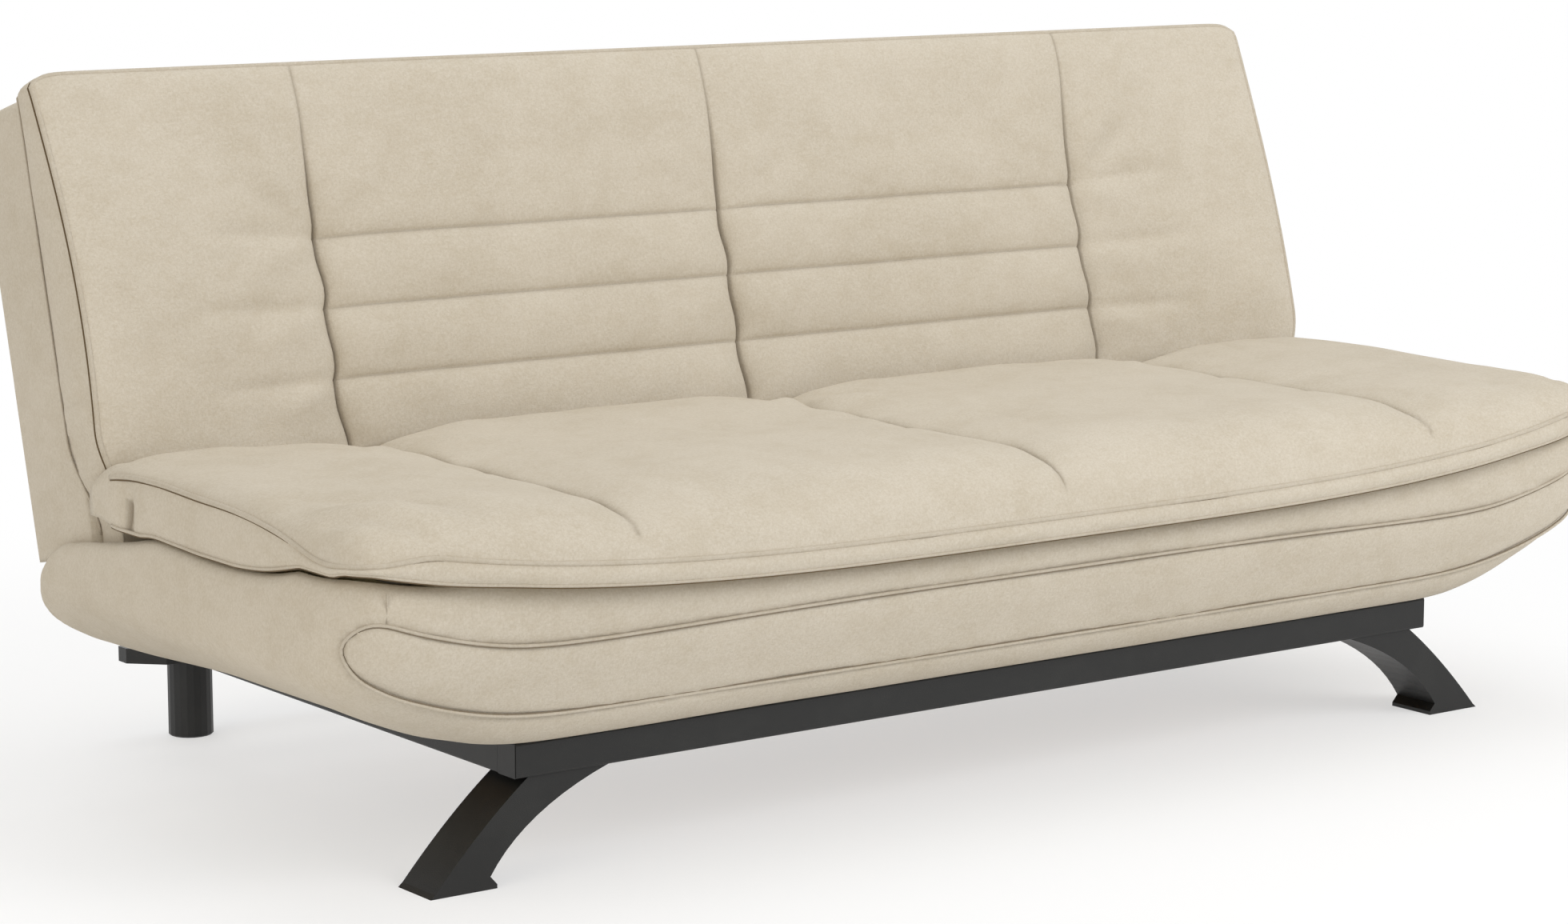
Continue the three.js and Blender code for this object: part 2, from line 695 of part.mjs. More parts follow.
// Hinge bracket: two posts on one foot, one for the seat's pivot and one for the back's.
function addBrackets() {
  const bottom = railTopZ + floorPanelThickness + 2 * gap;
  const bridge = bottom + bracketBridgeHeight;
  const outline = [
    [seatPivotY - lobeRadius, bottom],
    [backPivotY + lobeRadius, bottom],
    ...arcPoints(backPivotY, backPivotZ, lobeRadius, 0, 180, roundSteps),
    [backPivotY - lobeRadius, bridge],
    [seatPivotY + lobeRadius, bridge],
    ...arcPoints(seatPivotY, seatPivotZ, lobeRadius, 0, 180, roundSteps),
  ];
  const holeRadius = pinRadius + hingeRunningGap;
  const plate = sidePlate(outline, bracketX, bracketThickness, [
    { y: seatPivotY, z: seatPivotZ, radius: holeRadius },
    { y: backPivotY, z: backPivotZ, radius: holeRadius },
  ]);
  const foot = block(
    bracketX + bracketThickness / 2, bracketX + bracketFootWidth,
    seatPivotY - lobeRadius, seatPivotY - lobeRadius + bracketFootLength,
    bottom, bottom + bracketFootThickness,
  );
  addPair(sofa, 'hinge_bracket', join(plate, foot), steel);

  const reach = bracketThickness + armThickness + 3 * gap;
  const profile = [
    [0, 0], [pinHeadRadius, 0], [pinHeadRadius, pinHeadHeight], [pinRadius, pinHeadHeight],
    [pinRadius, pinHeadHeight + reach + pinHeadHeight], [0, pinHeadHeight + reach + pinHeadHeight],
  ].map(([r, z]) => new THREE.Vector2(r, z));
  const pivots = [
    ['seat_pivot_pin', seatPivotY, seatPivotZ],
    ['back_pivot_pin', backPivotY, backPivotZ],
  ];
  for (const [name, y, z] of pivots) {
    const pin = new THREE.LatheGeometry(profile, pinSides);
    pin.rotateZ(-Math.PI / 2);
    pin.translate(bracketX - gap - pinHeadHeight, y, z);
    addPair(sofa, name, pin, steel);
  }
}

const armX = bracketX + bracketThickness + gap;

function addSeat() {
  const flangeY = seatFrameRearY + gap;
  const holeRadius = pinRadius + hingeRunningGap;
  const plate = sidePlate([
    [flangeY, seatBoardBottomZ + armThickness], [seatPivotY, seatBoardTopZ],
    ...arcPoints(seatPivotY, seatPivotZ, seatLobeRadius, -60, 150, roundSteps),
    [flangeY, seatBoardTopZ],
  ], armX, armThickness, [{ y: seatPivotY, z: seatPivotZ, radius: holeRadius }]);
  const flange = block(
    armX + armThickness / 2, armX + armFlangeWidth, flangeY, flangeY + armThickness,
    seatBoardBottomZ + armThickness, seatBoardTopZ - armThickness,
  );
  addPair(sofa, 'seat_arm', join(plate, flange), steel);

  const half = seatFrameHalfWidth;
  const board = seatBoardThickness;
  addPiece(sofa, 'seat_front_board', block(
    -half, half, seatFrameFrontY, seatFrameFrontY + board, seatBoardBottomZ, seatBoardTopZ,
  ), wood());
  addPiece(sofa, 'seat_rear_board', block(
    -half, half, seatFrameRearY - board, seatFrameRearY, seatBoardBottomZ, seatBoardTopZ,
  ), wood());
  const runStart = seatFrameFrontY + board + gap;
  const runEnd = seatFrameRearY - board - gap;
  const endBoard = block(half - board, half, runStart, runEnd, seatBoardBottomZ, seatBoardTopZ);
  addPair(sofa, 'seat_end_board', endBoard, wood);
  addPiece(sofa, 'seat_middle_board', block(
    -board / 2, board / 2, runStart, runEnd, seatBoardBottomZ, seatBoardTopZ - board / 2,
  ), wood());
  addSeatSprings();

  const foamBottom = seatBoardTopZ + 2 * (springWire + gap);
  addPiece(sofa, 'seat_foam', block(
    -seatFoamHalfWidth, seatFoamHalfWidth, seatFoamFrontY, seatFoamRearY, foamBottom, seatUndersideZ - gap,
  ), foam());
  addPiece(sofa, 'seat_pad', seatPadGeometry(), fabric());
}

// Zigzag wire springs across the seat frame, from its front board to its rear board.
function addSeatSprings() {
  const start = seatFrameFrontY + seatBoardThickness / 2;
  const end = seatFrameRearY - seatBoardThickness / 2;
  const z = seatBoardTopZ + gap + springWire;
  const section = new THREE.Shape();
  for (let k = 0; k < springSides; k += 1) {
    const angle = (2 * Math.PI * k) / springSides;
    const [a, b] = [springWire * Math.cos(angle), springWire * Math.sin(angle)];
    if (k === 0) {
      section.moveTo(a, b);
    } else {
      section.lineTo(a, b);
    }
  }
  section.closePath();
  for (let s = 0; s < springCount; s += 1) {
    const centre = (s - (springCount - 1) / 2) * springSpacing;
    const points = [];
    for (let k = 0; k <= springBends; k += 1) {
      const swing = k === 0 || k === springBends ? 0 : springHalfSwing * (k % 2 ? 1 : -1);
      points.push(new THREE.Vector3(centre + swing, mix(start, end, k / springBends), z));
    }
    const spring = new THREE.ExtrudeGeometry(section, {
      steps: springBends * springStepsPerBend,
      extrudePath: new THREE.CatmullRomCurve3(points, false, 'centripetal'),
    });
    addPiece(sofa, `seat_spring_${s + 1}`, spring, steel());
  }
}

// Plan place on the seat pad: rounded front corners, straight ends, square rear.
function seatPlan(u, v) {
  const side = 2 * u - 1;
  const row = Math.round(v * (seatRowShares.length - 1));
  const y = mix(seatFrontY, seatPivotY + seatRollRadius, seatRowShares[row]);
  const round = Math.max(1 - (y - seatFrontY) / seatCornerRadius, 0);
  const half = seatHalfWidth - seatCornerInset * round ** 2;
  return [side * half, y + seatCornerSetback * round * Math.abs(side) ** seatCornerPower];
}

// Drop of the surface as it rolls over the pad's rear end.
function seatRollDrop(y) {
  const past = Math.max(y - seatPivotY, 0);
  return seatRollRadius - Math.sqrt(Math.max(seatRollRadius ** 2 - past ** 2, 0));
}

// Height of the pad's upper seam, which follows the rim at the front and lies level along the ends.
function seatEdgeHeight(x, y) {
  const front = frontRimAt(x) + seatSkirtLift + seatSkirtHeight;
  const level = seatPivotZ + seatRollRadius + seatEndRise;
  const droop = seatCornerDroop * smooth(Math.abs(x), seatHalfWidth - seatDroopInset, seatHalfWidth);
  const behind = smooth(y, seatFrontY, seatFrontY + 2 * seatEdgeBand);
  const riseFade = seatEndRise * smooth(y, seatPivotY - seatEdgeBand, seatPivotY);
  return mix(Math.min(front, level) - droop, level, behind) - riseFade;
}

// Tufted upper surface: crowned between the long seams, drawn down to the edge seam at the front.
function seatUpper(u, v) {
  const [x, y] = seatPlan(u, v);
  const fromFront = smooth(y, seatFrontY, seatFrontY + seatEdgeBand);
  const fromEnd = smooth(seatHalfWidth - Math.abs(x), 0, seatEdgeBand);
  const seams = Math.max(...[-1, 0, 1].map((k) => dent(x - k * seamSpacing, seatSeamWidth)));
  const seamRun = smooth(y, seatFrontY + seatEdgeBand / 2, seatFrontY + 2 * seatEdgeBand);
  const crown = seatCrown * (1 - smooth(y, seatPivotY - seatCrownRun, seatPivotY + seatRollRadius));
  const inner = seatPivotZ + seatRollRadius + crown - seatSeamDepth * seams * seamRun * fromEnd;
  const rise = 1 - (1 - fromFront) ** 2;
  return [x, y, mix(seatEdgeHeight(x, y), inner, rise) - seatRollDrop(y)];
}

// Underside: level over the foam, and lifted just clear of the rim at the front and the ends.
function seatLower(u, v) {
  const [x, y] = seatPlan(u, v);
  const overEnd = smooth(Math.abs(x), seatFoamHalfWidth, battenHalfWidth - battenWidth);
  const arch = Math.sin(Math.PI * u) * Math.sin(Math.PI * v);
  const level = seatUndersideZ + seatUndersideArch * arch;
  const overRim = Math.max(endRimAt(y) + seatSkirtLift, level);
  const front = frontRimAt(x) + seatSkirtLift;
  const inFront = 1 - smooth(y, seatFrontY + seatSkirtWidth, seatFrontY + seatSkirtWidth + seatSkirtRise);
  return [x, y, mix(mix(level, overRim, overEnd), front, inFront)];
}

function seatPadGeometry() {
  const rear = seatPivotY + seatRollRadius;
  const body = pad(seatColumns, seatRowShares.length - 1, seatUpper, seatLower, false);
  const notch = (sign) => {
    const low = bracketX - slotMargin;
    const high = armX + armThickness + slotMargin;
    return block(
      sign > 0 ? low : -high, sign > 0 ? high : -low,
      seatPivotY - lobeRadius - slotMargin, rear + cutOverrun,
      seatUndersideZ - tubWall, seatPivotZ + lobeRadius + seatNotchTopClearance,
    );
  };
  return cut(body, notch(-1), notch(1));
}

const back = new THREE.Group();
back.position.set(0, backPivotY, backPivotZ);
back.rotation.x = -backTilt;
sofa.add(back);

// Half-width that the shell's lower corners keep, so that they lie inside the tub's ends when flat.
const shellCornerHalfWidth = (y) => Math.min(
  shellHalfWidth, tubInsideHalfWidthAt(backPivotZ - y) - shellClearance,
);

function shellGeometry() {
  const ring = (z, drawn, inset) => {
    const corner = [...shellCornerYs, shellRearY].map((y) => {
      const round = y === shellRearY ? shellEdgeRound * (1 - drawn) : 0;
      const half = mix(shellHalfWidth, shellCornerHalfWidth(y), drawn) - inset - round;
      return [half, Math.min(y, shellRearY - inset), z];
    });
    const front = [shellHalfWidth - inset, shellFrontY, z];
    const right = [front, ...corner];
    return [...right, ...right.slice().reverse().map(([x, y, height]) => [-x, y, height])];
  };
  const fadeEnd = shellCornerTopZ + shellCornerFade;
  const rings = [
    ring(shellBottomZ, 1, 0),
    ring(shellCornerTopZ, 1, 0),
    ...shellFadeShares.map((share, k) => (
      ring(mix(shellCornerTopZ, fadeEnd, share), shellDrawnShares[k], 0)
    )),
    ring(fadeEnd, 0, 0),
    ring(shellTopZ - shellEdgeRound, 0, 0),
    ring(shellTopZ - shellEdgeRound * shellRoundShare, 0, shellEdgeRound * shellRoundShare),
    ring(shellTopZ, 0, shellEdgeRound),
  ];
  const cavityHalf = shellHalfWidth - shellSideWall;
  const cavity = block(
    -cavityHalf, cavityHalf, shellFrontY - cutOverrun, backBoardRearY + backPanelThickness + 2 * gap,
    shellBottomZ + shellTopWall, shellTopZ - shellTopWall,
  );
  const slot = (sign) => {
    const low = bracketX - slotMargin;
    const high = armX + armThickness + slotMargin;
    return block(
      sign > 0 ? low : -high, sign > 0 ? high : -low,
      shellFrontY - cutOverrun, shellRearY + cutOverrun, shellBottomZ - cutOverrun, backSlotTopZ,
    );
  };
  return cut(loft(rings), cavity, slot(-1), slot(1));
}

// Heights of the cushion's rows: over its rolled lower end, three to each channel, then up to its top.
function cushionRowHeights() {
  const low = -Math.sqrt(cushionRollRadius ** 2 - shellFrontY ** 2);
  const top = channelFirstZ + channelPitch * (channelCount - 1);
  const roll = cushionRollShares.map((share) => mix(low, channelFirstZ, share));
  const steps = 3 * (channelCount - 1);
  const channels = Array.from({ length: steps + 1 }, (_, k) => mix(channelFirstZ, top, k / steps));
  return [...roll, ...channels, ...cushionTopShares.map((share) => mix(top, cushionTopZ, share))];
}

// Half-width of the cushion: narrow where it rolls in between the tub's ends, drawn in at its middle.
function cushionHalfAt(z) {
  const wide = cushionHalfWidth - cushionDrawIn * Math.sin(Math.PI * smooth(z, 0, cushionTopZ));
  const widening = smooth(z, backSlotTopZ, channelFirstZ + channelPitch);
  return mix(cushionHalfWidth - cushionRollInset, wide, widening);
}

// Depth of the cushion's face in front of the pivot: crowned between its seams, fullest halfway up its ends.
function cushionDepth(side, z) {
  const across = Math.abs(side) * cushionHalfWidth;
  const toEnd = smooth(cushionHalfWidth - across, 0, cushionEndBand);
  const toTop = smooth(cushionTopZ - z, 0, cushionEdgeBand);
  const down = (cushionTopZ - z) / (cushionTopZ + cushionEdgeRun);
  const edge = cushionEdgeDepth + cushionEdgeBulge * Math.sin(Math.PI * down);
  const crown = mix(edge, cushionCrownDepth, toEnd * toTop);
  const long = Math.max(dent(across, seamWidth), dent(across - seamSpacing, seamWidth));
  const nearest = Math.round((z - channelFirstZ) / channelPitch);
  const channel = THREE.MathUtils.clamp(nearest, 0, channelCount - 1);
  const level = dent(z - channelFirstZ - channel * channelPitch, channelWidth);
  const cross = level * (1 - smooth(across, seamSpacing, seamSpacing + cushionEdgeBand));
  const sewn = mix(crown, cushionSeamDepth, Math.max(long, cross) * toEnd);
  const roll = Math.sqrt(cushionRollRadius ** 2 - Math.min(z, 0) ** 2) - gap;
  return mix(roll, sewn, smooth(z, cushionRollBlendZ, channelFirstZ));
}

// Back cushion: tall plain panels over three sewn channels, with long seams from top to bottom.
function cushionGeometry() {
  const heights = cushionRowHeights();
  const rearY = shellFrontY - gap;
  const place = (u, v) => {
    const z = heights[Math.round(v * (heights.length - 1))];
    return [2 * u - 1, z];
  };
  const front = (u, v) => {
    const [side, z] = place(u, v);
    return [side * cushionHalfAt(z), Math.min(-cushionDepth(side, z), rearY - gap), z];
  };
  const rear = (u, v) => {
    const [side, z] = place(u, v);
    return [side * cushionHalfAt(z), rearY, z];
  };
  return pad(cushionColumns, heights.length - 1, front, rear, true);
}

function addBack() {
  addPiece(back, 'back_shell', shellGeometry(), fabric());
  const inner = shellHalfWidth - shellSideWall - backRailInset;
  const board = backBoardThickness;
  const bottom = backSlotTopZ + board;
  const top = shellTopZ - shellTopWall - backRailInset;
  addPiece(back, 'back_bottom_board', block(
    -inner, inner, backBoardFrontY, backBoardRearY, bottom, bottom + board,
  ), wood());
  addPiece(back, 'back_top_board', block(
    -inner, inner, backBoardFrontY, backBoardRearY, top - board, top,
  ), wood());
  const postLow = bottom + board + gap;
  const postHigh = top - board - gap;
  const postOuterX = inner - backPostInset;
  addPair(back, 'back_end_post', block(
    postOuterX - board, postOuterX, backBoardFrontY, backBoardRearY, postLow, postHigh,
  ), wood);
  addPair(back, 'back_middle_post', block(
    seamSpacing / 2 - board / 2, seamSpacing / 2 + board / 2,
    backBoardFrontY, backBoardRearY, postLow, postHigh,
  ), wood);
  addPiece(back, 'back_panel', block(
    -inner, inner, backBoardRearY + gap, backBoardRearY + gap + backPanelThickness, bottom, top,
  ), wood());
  const strapRear = backBoardFrontY - gap;
  for (let s = 0; s < strapCount; s += 1) {
    const centre = (s - (strapCount - 1) / 2) * strapSpacing;
    addPiece(back, `back_strap_${s + 1}`, block(
      centre - strapWidth / 2, centre + strapWidth / 2, strapRear - strapThickness, strapRear, bottom, top,
    ), webbing());
  }
  addPiece(back, 'back_foam', block(
    -inner, inner, shellFrontY + backFoamSeat, strapRear - strapThickness - gap, bottom, top,
  ), foam());
  addPiece(back, 'back_cushion', cushionGeometry(), fabric());

  const holeRadius = pinRadius + hingeRunningGap;
  const armTop = bottom - gap;
  const plate = sidePlate([
    ...arcPoints(0, 0, lobeRadius, 180, 360, roundSteps),
    [backArmRearY, armTop], [-lobeRadius, armTop],
  ], armX, armThickness, [{ y: 0, z: 0, radius: holeRadius }]);
  const flange = block(
    armX + armThickness / 2, armX + armFlangeWidth, backBoardFrontY, backArmRearY,
    armTop - armThickness, armTop,
  );
  addPair(back, 'back_arm', join(plate, flange), steel);
}

addBaseFrame();
addLegs();
addTub();
addBrackets();
addSeat();
addBack();

export default sofa;
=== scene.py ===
"""Dresses the click clack sofa bed: padded covers, seams, piping, painted base and hinges."""

import json
import logging
import math
from dataclasses import dataclass, field
from enum import Enum
from typing import Any, Callable, ClassVar, Iterable, Sequence

import bmesh
import bpy
import numpy as np
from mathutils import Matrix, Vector


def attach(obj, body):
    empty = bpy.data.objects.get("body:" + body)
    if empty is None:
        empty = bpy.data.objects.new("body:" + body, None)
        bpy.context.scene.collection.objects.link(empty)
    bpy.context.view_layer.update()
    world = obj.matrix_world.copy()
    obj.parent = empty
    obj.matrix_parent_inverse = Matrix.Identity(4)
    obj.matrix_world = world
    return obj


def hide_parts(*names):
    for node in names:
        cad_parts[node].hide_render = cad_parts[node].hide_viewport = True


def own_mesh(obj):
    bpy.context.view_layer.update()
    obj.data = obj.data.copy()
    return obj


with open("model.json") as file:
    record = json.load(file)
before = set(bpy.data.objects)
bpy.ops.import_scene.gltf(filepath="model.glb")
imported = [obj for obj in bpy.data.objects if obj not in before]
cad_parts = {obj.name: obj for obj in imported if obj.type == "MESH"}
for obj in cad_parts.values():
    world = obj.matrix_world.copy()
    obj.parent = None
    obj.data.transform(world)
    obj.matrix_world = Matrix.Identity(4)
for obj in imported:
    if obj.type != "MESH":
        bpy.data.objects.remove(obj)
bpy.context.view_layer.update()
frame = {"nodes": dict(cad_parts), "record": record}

LOG = logging.getLogger("sofa")
Array = np.ndarray
Point = tuple[float, float, float]
Colour = tuple[float, float, float]
Face = tuple[int, ...]
WHITE = (1.0, 1.0, 1.0)


class Slot(Enum):
    """The finishes that the sofa is made in."""

    FABRIC = "beige_fabric"
    FOAM = "foam"
    PLYWOOD = "plywood"
    PAINT = "black_painted_steel"
    ZINC = "zinc_plated_steel"
    WEBBING = "webbing"


# ---------------------------------------------------------------- shaders


class Socket:
    """A shader socket that takes part in sums."""

    def __init__(self, graph: "Graph", socket: bpy.types.NodeSocket) -> None:
        """Keeps the socket and the graph that its sums are added to."""
        self.graph = graph
        self.socket = socket

    def _sum(self, operation: str, *values: Any) -> "Socket":
        """The result of one Math node, from its inputs in order."""
        return self.graph.node("ShaderNodeMath", {"operation": operation}, dict(enumerate(values)))

    def __add__(self, other: Any) -> "Socket":
        """Adds."""
        return self._sum("ADD", self, other)

    def __radd__(self, other: Any) -> "Socket":
        """Adds to a number."""
        return self._sum("ADD", other, self)

    def __sub__(self, other: Any) -> "Socket":
        """Takes away."""
        return self._sum("SUBTRACT", self, other)

    def __rsub__(self, other: Any) -> "Socket":
        """Takes this away from a number."""
        return self._sum("SUBTRACT", other, self)

    def __mul__(self, other: Any) -> "Socket":
        """Multiplies."""
        return self._sum("MULTIPLY", self, other)

    def __rmul__(self, other: Any) -> "Socket":
        """Multiplies a number."""
        return self._sum("MULTIPLY", other, self)

    def __pow__(self, other: Any) -> "Socket":
        """Raises to a power."""
        return self._sum("POWER", self, other)

    def between(self, low: float, high: float) -> "Socket":
        """A smooth share, 0 up to low and 1 from high."""
        settings = {"interpolation_type": "SMOOTHSTEP"}
        return self.graph.node("ShaderNodeMapRange", settings, {0: self, 1: low, 2: high})


class Graph:
    """The nodes of one material, or of the world."""

    def __init__(self, owner: bpy.types.Material | bpy.types.World) -> None:
        """Empties the owner's node tree.

        Args:
            owner: The new material or world.
        """
        owner.use_nodes = True
        self.tree = owner.node_tree
        self.tree.nodes.clear()

    def add(self, kind: str, settings: dict[str, Any], inputs: dict[Any, Any]) -> bpy.types.Node:
        """Adds a node, as every node of the sofa and its studio is added.

        Args:
            kind: The node's type.
            settings: Its properties, which are set first.
            inputs: A value or a socket for each named or numbered input.

        Returns:
            The node.
        """
        made = self.tree.nodes.new(kind)
        for key, value in settings.items():
            setattr(made, key, value)
        for key, value in inputs.items():
            if isinstance(value, Socket):
                self.tree.links.new(value.socket, made.inputs[key])
            else:
                made.inputs[key].default_value = value
        return made

    def node(self, kind: str, settings: dict[str, Any], inputs: dict[Any, Any], output: Any = 0) -> Socket:
        """One output of a new node, named or numbered."""
        return Socket(self, self.add(kind, settings, inputs).outputs[output])

    def place(self) -> Socket:
        """The place on the object, in metres."""
        return self.node("ShaderNodeTexCoord", {}, {}, "Object")

    def ray(self, kind: str) -> Socket:
        """Whether a ray is of a kind, such as one from the camera."""
        return self.node("ShaderNodeLightPath", {}, {}, kind)

    def scaled(self, vector: Socket, factors: Point) -> Socket:
        """A place with each axis multiplied."""
        return self.node("ShaderNodeVectorMath", {"operation": "MULTIPLY"}, {0: vector, 1: factors})

    def noise(self, vector: Socket, scale: float, detail: float = 2.0, rough: float = 0.5) -> Socket:
        """Soft random values around a half, with so many cells to the metre."""
        values = {"Vector": vector, "Scale": scale, "Detail": detail, "Roughness": rough}
        return self.node("ShaderNodeTexNoise", {}, values)

    def mix(self, share: Socket, low: Any, high: Any) -> Socket:
        """A mix of two colours, with a share of the second."""
        values = {0: share, 6: opaque(low), 7: opaque(high)}
        return self.node("ShaderNodeMix", {"data_type": "RGBA"}, values, 2)

    def bump(self, height: Socket, distance: float) -> Socket:
        """The normal of a surface with heights from 0 to 1 over a relief in metres."""
        return self.node("ShaderNodeBump", {}, {"Strength": 1.0, "Distance": distance, "Height": height})


def opaque(colour: Any) -> Any:
    """A colour with full alpha, or a socket unchanged."""
    return (*colour, 1.0) if isinstance(colour, tuple) and len(colour) == 3 else colour


def linear(red: int, green: int, blue: int) -> Colour:
    """A colour from its 0 to 255 values."""
    return tuple(((c / 255 + 0.055) / 1.055) ** 2.4 if c > 10 else c / 3294.6 for c in (red, green, blue))


@dataclass(frozen=True)
class Finish:
    """A finish with one principled surface, which each kind works out in its own way."""

    title: ClassVar[str]

    def surface(self, g: Graph) -> dict[str, Any]:
        """The inputs of the principled surface."""
        raise NotImplementedError

    def material(self) -> bpy.types.Material:
        """Makes the finish's material.

        Returns:
            The material.
        """
        made = bpy.data.materials.new(self.title)
        g = Graph(made)
        shader = g.node("ShaderNodeBsdfPrincipled", {}, self.surface(g))
        g.add("ShaderNodeOutputMaterial", {}, {"Surface": shader})
        return made


@dataclass(frozen=True)
class Upholstery(Finish):
    """Beige chenille with a short flecked pile."""

    title: ClassVar[str] = "beige_chenille"
    base: Colour = linear(196, 187, 171)
    fleck: Colour = linear(212, 204, 190)
    shade: Colour = linear(178, 165, 142)
    # Painted shade: the colour that seams, folds and piping are darkened towards, by the crease share of each
    # point.
    crease: Colour = linear(92, 75, 50)
    weave: float = 620.0
    mottle: float = 260.0
    nap: float = 24.0
    pile: float = 7.0
    relief: float = 0.0008
    flecked: float = 0.38
    between_flecks: float = 0.24
    brushed: float = 0.20
    faded: float = 0.25
    between_threads: float = 0.24

    def surface(self, g: Graph) -> dict[str, Any]:
        """Works out threads, flecks, brushed nap and the painted shade of the seams.

        Args:
            g: The material's graph.

        Returns:
            The surface's inputs.
        """
        place = g.place()
        soft = g.noise(place, self.pile, 3.0, 0.55)
        fleck = g.noise(place, self.mottle, 3.0, 0.65)
        across = g.noise(g.scaled(place, (1.0, 1.0, 0.35)), self.weave, 2.0, 0.6)
        along = g.noise(g.scaled(place, (0.35, 1.0, 1.0)), self.weave, 2.0, 0.6)
        nap = g.noise(g.scaled(place, (1.0, 1.0, 1.6)), self.nap, 4.0, 0.7)
        tone = g.mix(fleck.between(0.38, 0.70) * self.flecked, self.base, self.fleck)
        tone = g.mix((1.0 - fleck.between(0.28, 0.50)) * self.between_flecks, tone, self.shade)
        tone = g.mix((1.0 - nap.between(0.36, 0.56)) * self.brushed, tone, self.shade)
        tone = g.mix(soft.between(0.35, 0.68) * self.faded, tone, self.fleck)
        tone = g.mix((1.0 - (across * along).between(0.16, 0.32)) * self.between_threads, tone, self.shade)
        # Painted shade: the crease share stored on each point darkens the cloth towards the crease colour in
        # seams, folds and beside piping.
        painted_seam_shade = g.node("ShaderNodeAttribute", {"attribute_name": "crease"}, {}, "Fac")
        tone = g.mix(painted_seam_shade, tone, self.crease)
        height = across * 0.35 + along * 0.35 + fleck * 0.45
        return {
            "Base Color": tone,
            "Roughness": 0.94,
            "Specular IOR Level": 0.12,
            "Sheen Weight": 0.22,
            "Sheen Roughness": 0.45,
            "Sheen Tint": opaque(self.fleck),
            "Normal": g.bump(height, self.relief),
        }


@dataclass(frozen=True)
class BlackPaint(Finish):
    """Satin black powder coat with its fine orange peel."""

    title: ClassVar[str] = "satin_black_powder_coat"
    colour: Colour = linear(13, 13, 11)
    worn: Colour = linear(30, 30, 28)
    peel: float = 900.0
    clouds: float = 14.0
    relief: float = 0.00025

    def surface(self, g: Graph) -> dict[str, Any]:
        """Works out the orange peel and faint clouds of the coat.

        Args:
            g: The material's graph.

        Returns:
            The surface's inputs.
        """
        place = g.place()
        peel = g.noise(place, self.peel)
        cloud = g.noise(place, self.clouds, 3.0, 0.6)
        return {
            "Base Color": g.mix(cloud.between(0.4, 0.75) * 0.6, self.colour, self.worn),
            "Roughness": 0.36 + cloud * 0.16,
            "Specular IOR Level": 0.5,
            "Normal": g.bump(peel, self.relief),
        }


@dataclass(frozen=True)
class ZincPlate(Finish):
    """Zinc-plated pressed steel with a faint grain."""

    title: ClassVar[str] = "zinc_plate"
    colour: Colour = linear(168, 170, 170)
    dull: Colour = linear(132, 134, 136)
    grain: float = 700.0
    spangle: float = 90.0
    relief: float = 0.0001

    def surface(self, g: Graph) -> dict[str, Any]:
        """Works out the drawn grain and spangle of the plate.

        Args:
            g: The material's graph.

        Returns:
            The surface's inputs.
        """
        place = g.place()
        grain = g.noise(g.scaled(place, (1.0, 1.0, 0.06)), self.grain, 2.0, 0.6)
        spangle = g.noise(place, self.spangle)
        return {
            "Base Color": g.mix(spangle.between(0.35, 0.65), self.dull, self.colour),
            "Metallic": 0.95,
            "Roughness": 0.28 + grain * 0.22,
            "Normal": g.bump(grain, self.relief),
        }


@dataclass(frozen=True)
class Plywood(Finish):
    """Plain plywood and softwood boards."""

    title: ClassVar[str] = "birch_plywood"
    light: Colour = linear(208, 178, 134)
    dark: Colour = linear(166, 126, 80)
    rings: float = 5.0
    grain: float = 3.0
    relief: float = 0.0003

    def surface(self, g: Graph) -> dict[str, Any]:
        """Works out the long grain of the boards.

        Args:
            g: The material's graph.

        Returns:
            The surface's inputs.
        """
        place = g.place()
        warp = g.noise(g.scaled(place, (1.0, 3.0, 3.0)), self.rings, 3.0)
        grain = g.noise(g.scaled(place, (2.5, 60.0, 60.0)), self.grain, 4.0, 0.62)
        tone = g.mix((grain * 0.7 + warp * 0.3).between(0.35, 0.66), self.dark, self.light)
        return {
            "Base Color": tone,
            "Roughness": 0.55 + grain * 0.25,
            "Normal": g.bump(grain, self.relief),
        }


@dataclass(frozen=True)
class FoamSlab(Finish):
    """Pale open-cell foam."""

    title: ClassVar[str] = "open_cell_foam"
    colour: Colour = linear(232, 220, 178)
    # Painted shade: the cells are darker where their bump sinks in.
    hollows: Colour = linear(206, 190, 142)
    cells: float = 900.0
    relief: float = 0.0006

    def surface(self, g: Graph) -> dict[str, Any]:
        """Works out the open cells, with painted shade in their hollows.

        Args:
            g: The material's graph.

        Returns:
            The surface's inputs.
        """
        cells = g.noise(g.place(), self.cells, 2.0, 0.7)
        return {
            "Base Color": g.mix(cells.between(0.3, 0.7), self.hollows, self.colour),
            "Roughness": 0.92,
            "Normal": g.bump(cells, self.relief),
        }


@dataclass(frozen=True)
class Webbing(Finish):
    """Dark woven elastic webbing."""

    title: ClassVar[str] = "elastic_webbing"
    colour: Colour = linear(70, 66, 60)
    # Painted shade: darker in the grooves between the ribs, where the bump sinks.
    grooves: Colour = linear(48, 45, 41)
    ribs: float = 60.0
    relief: float = 0.0006

    def surface(self, g: Graph) -> dict[str, Any]:
        """Works out the woven ribs, with painted shade in the grooves between them.

        Args:
            g: The material's graph.

        Returns:
            The surface's inputs.
        """
        bands = {"wave_type": "BANDS", "bands_direction": "X"}
        values = {"Vector": g.place(), "Scale": self.ribs, "Distortion": 0.6}
        ribs = g.node("ShaderNodeTexWave", bands, values, 1)
        return {
            "Base Color": g.mix(ribs, self.grooves, self.colour),
            "Roughness": 0.85,
            "Normal": g.bump(ribs, self.relief),
        }


# ---------------------------------------------------------------- forms

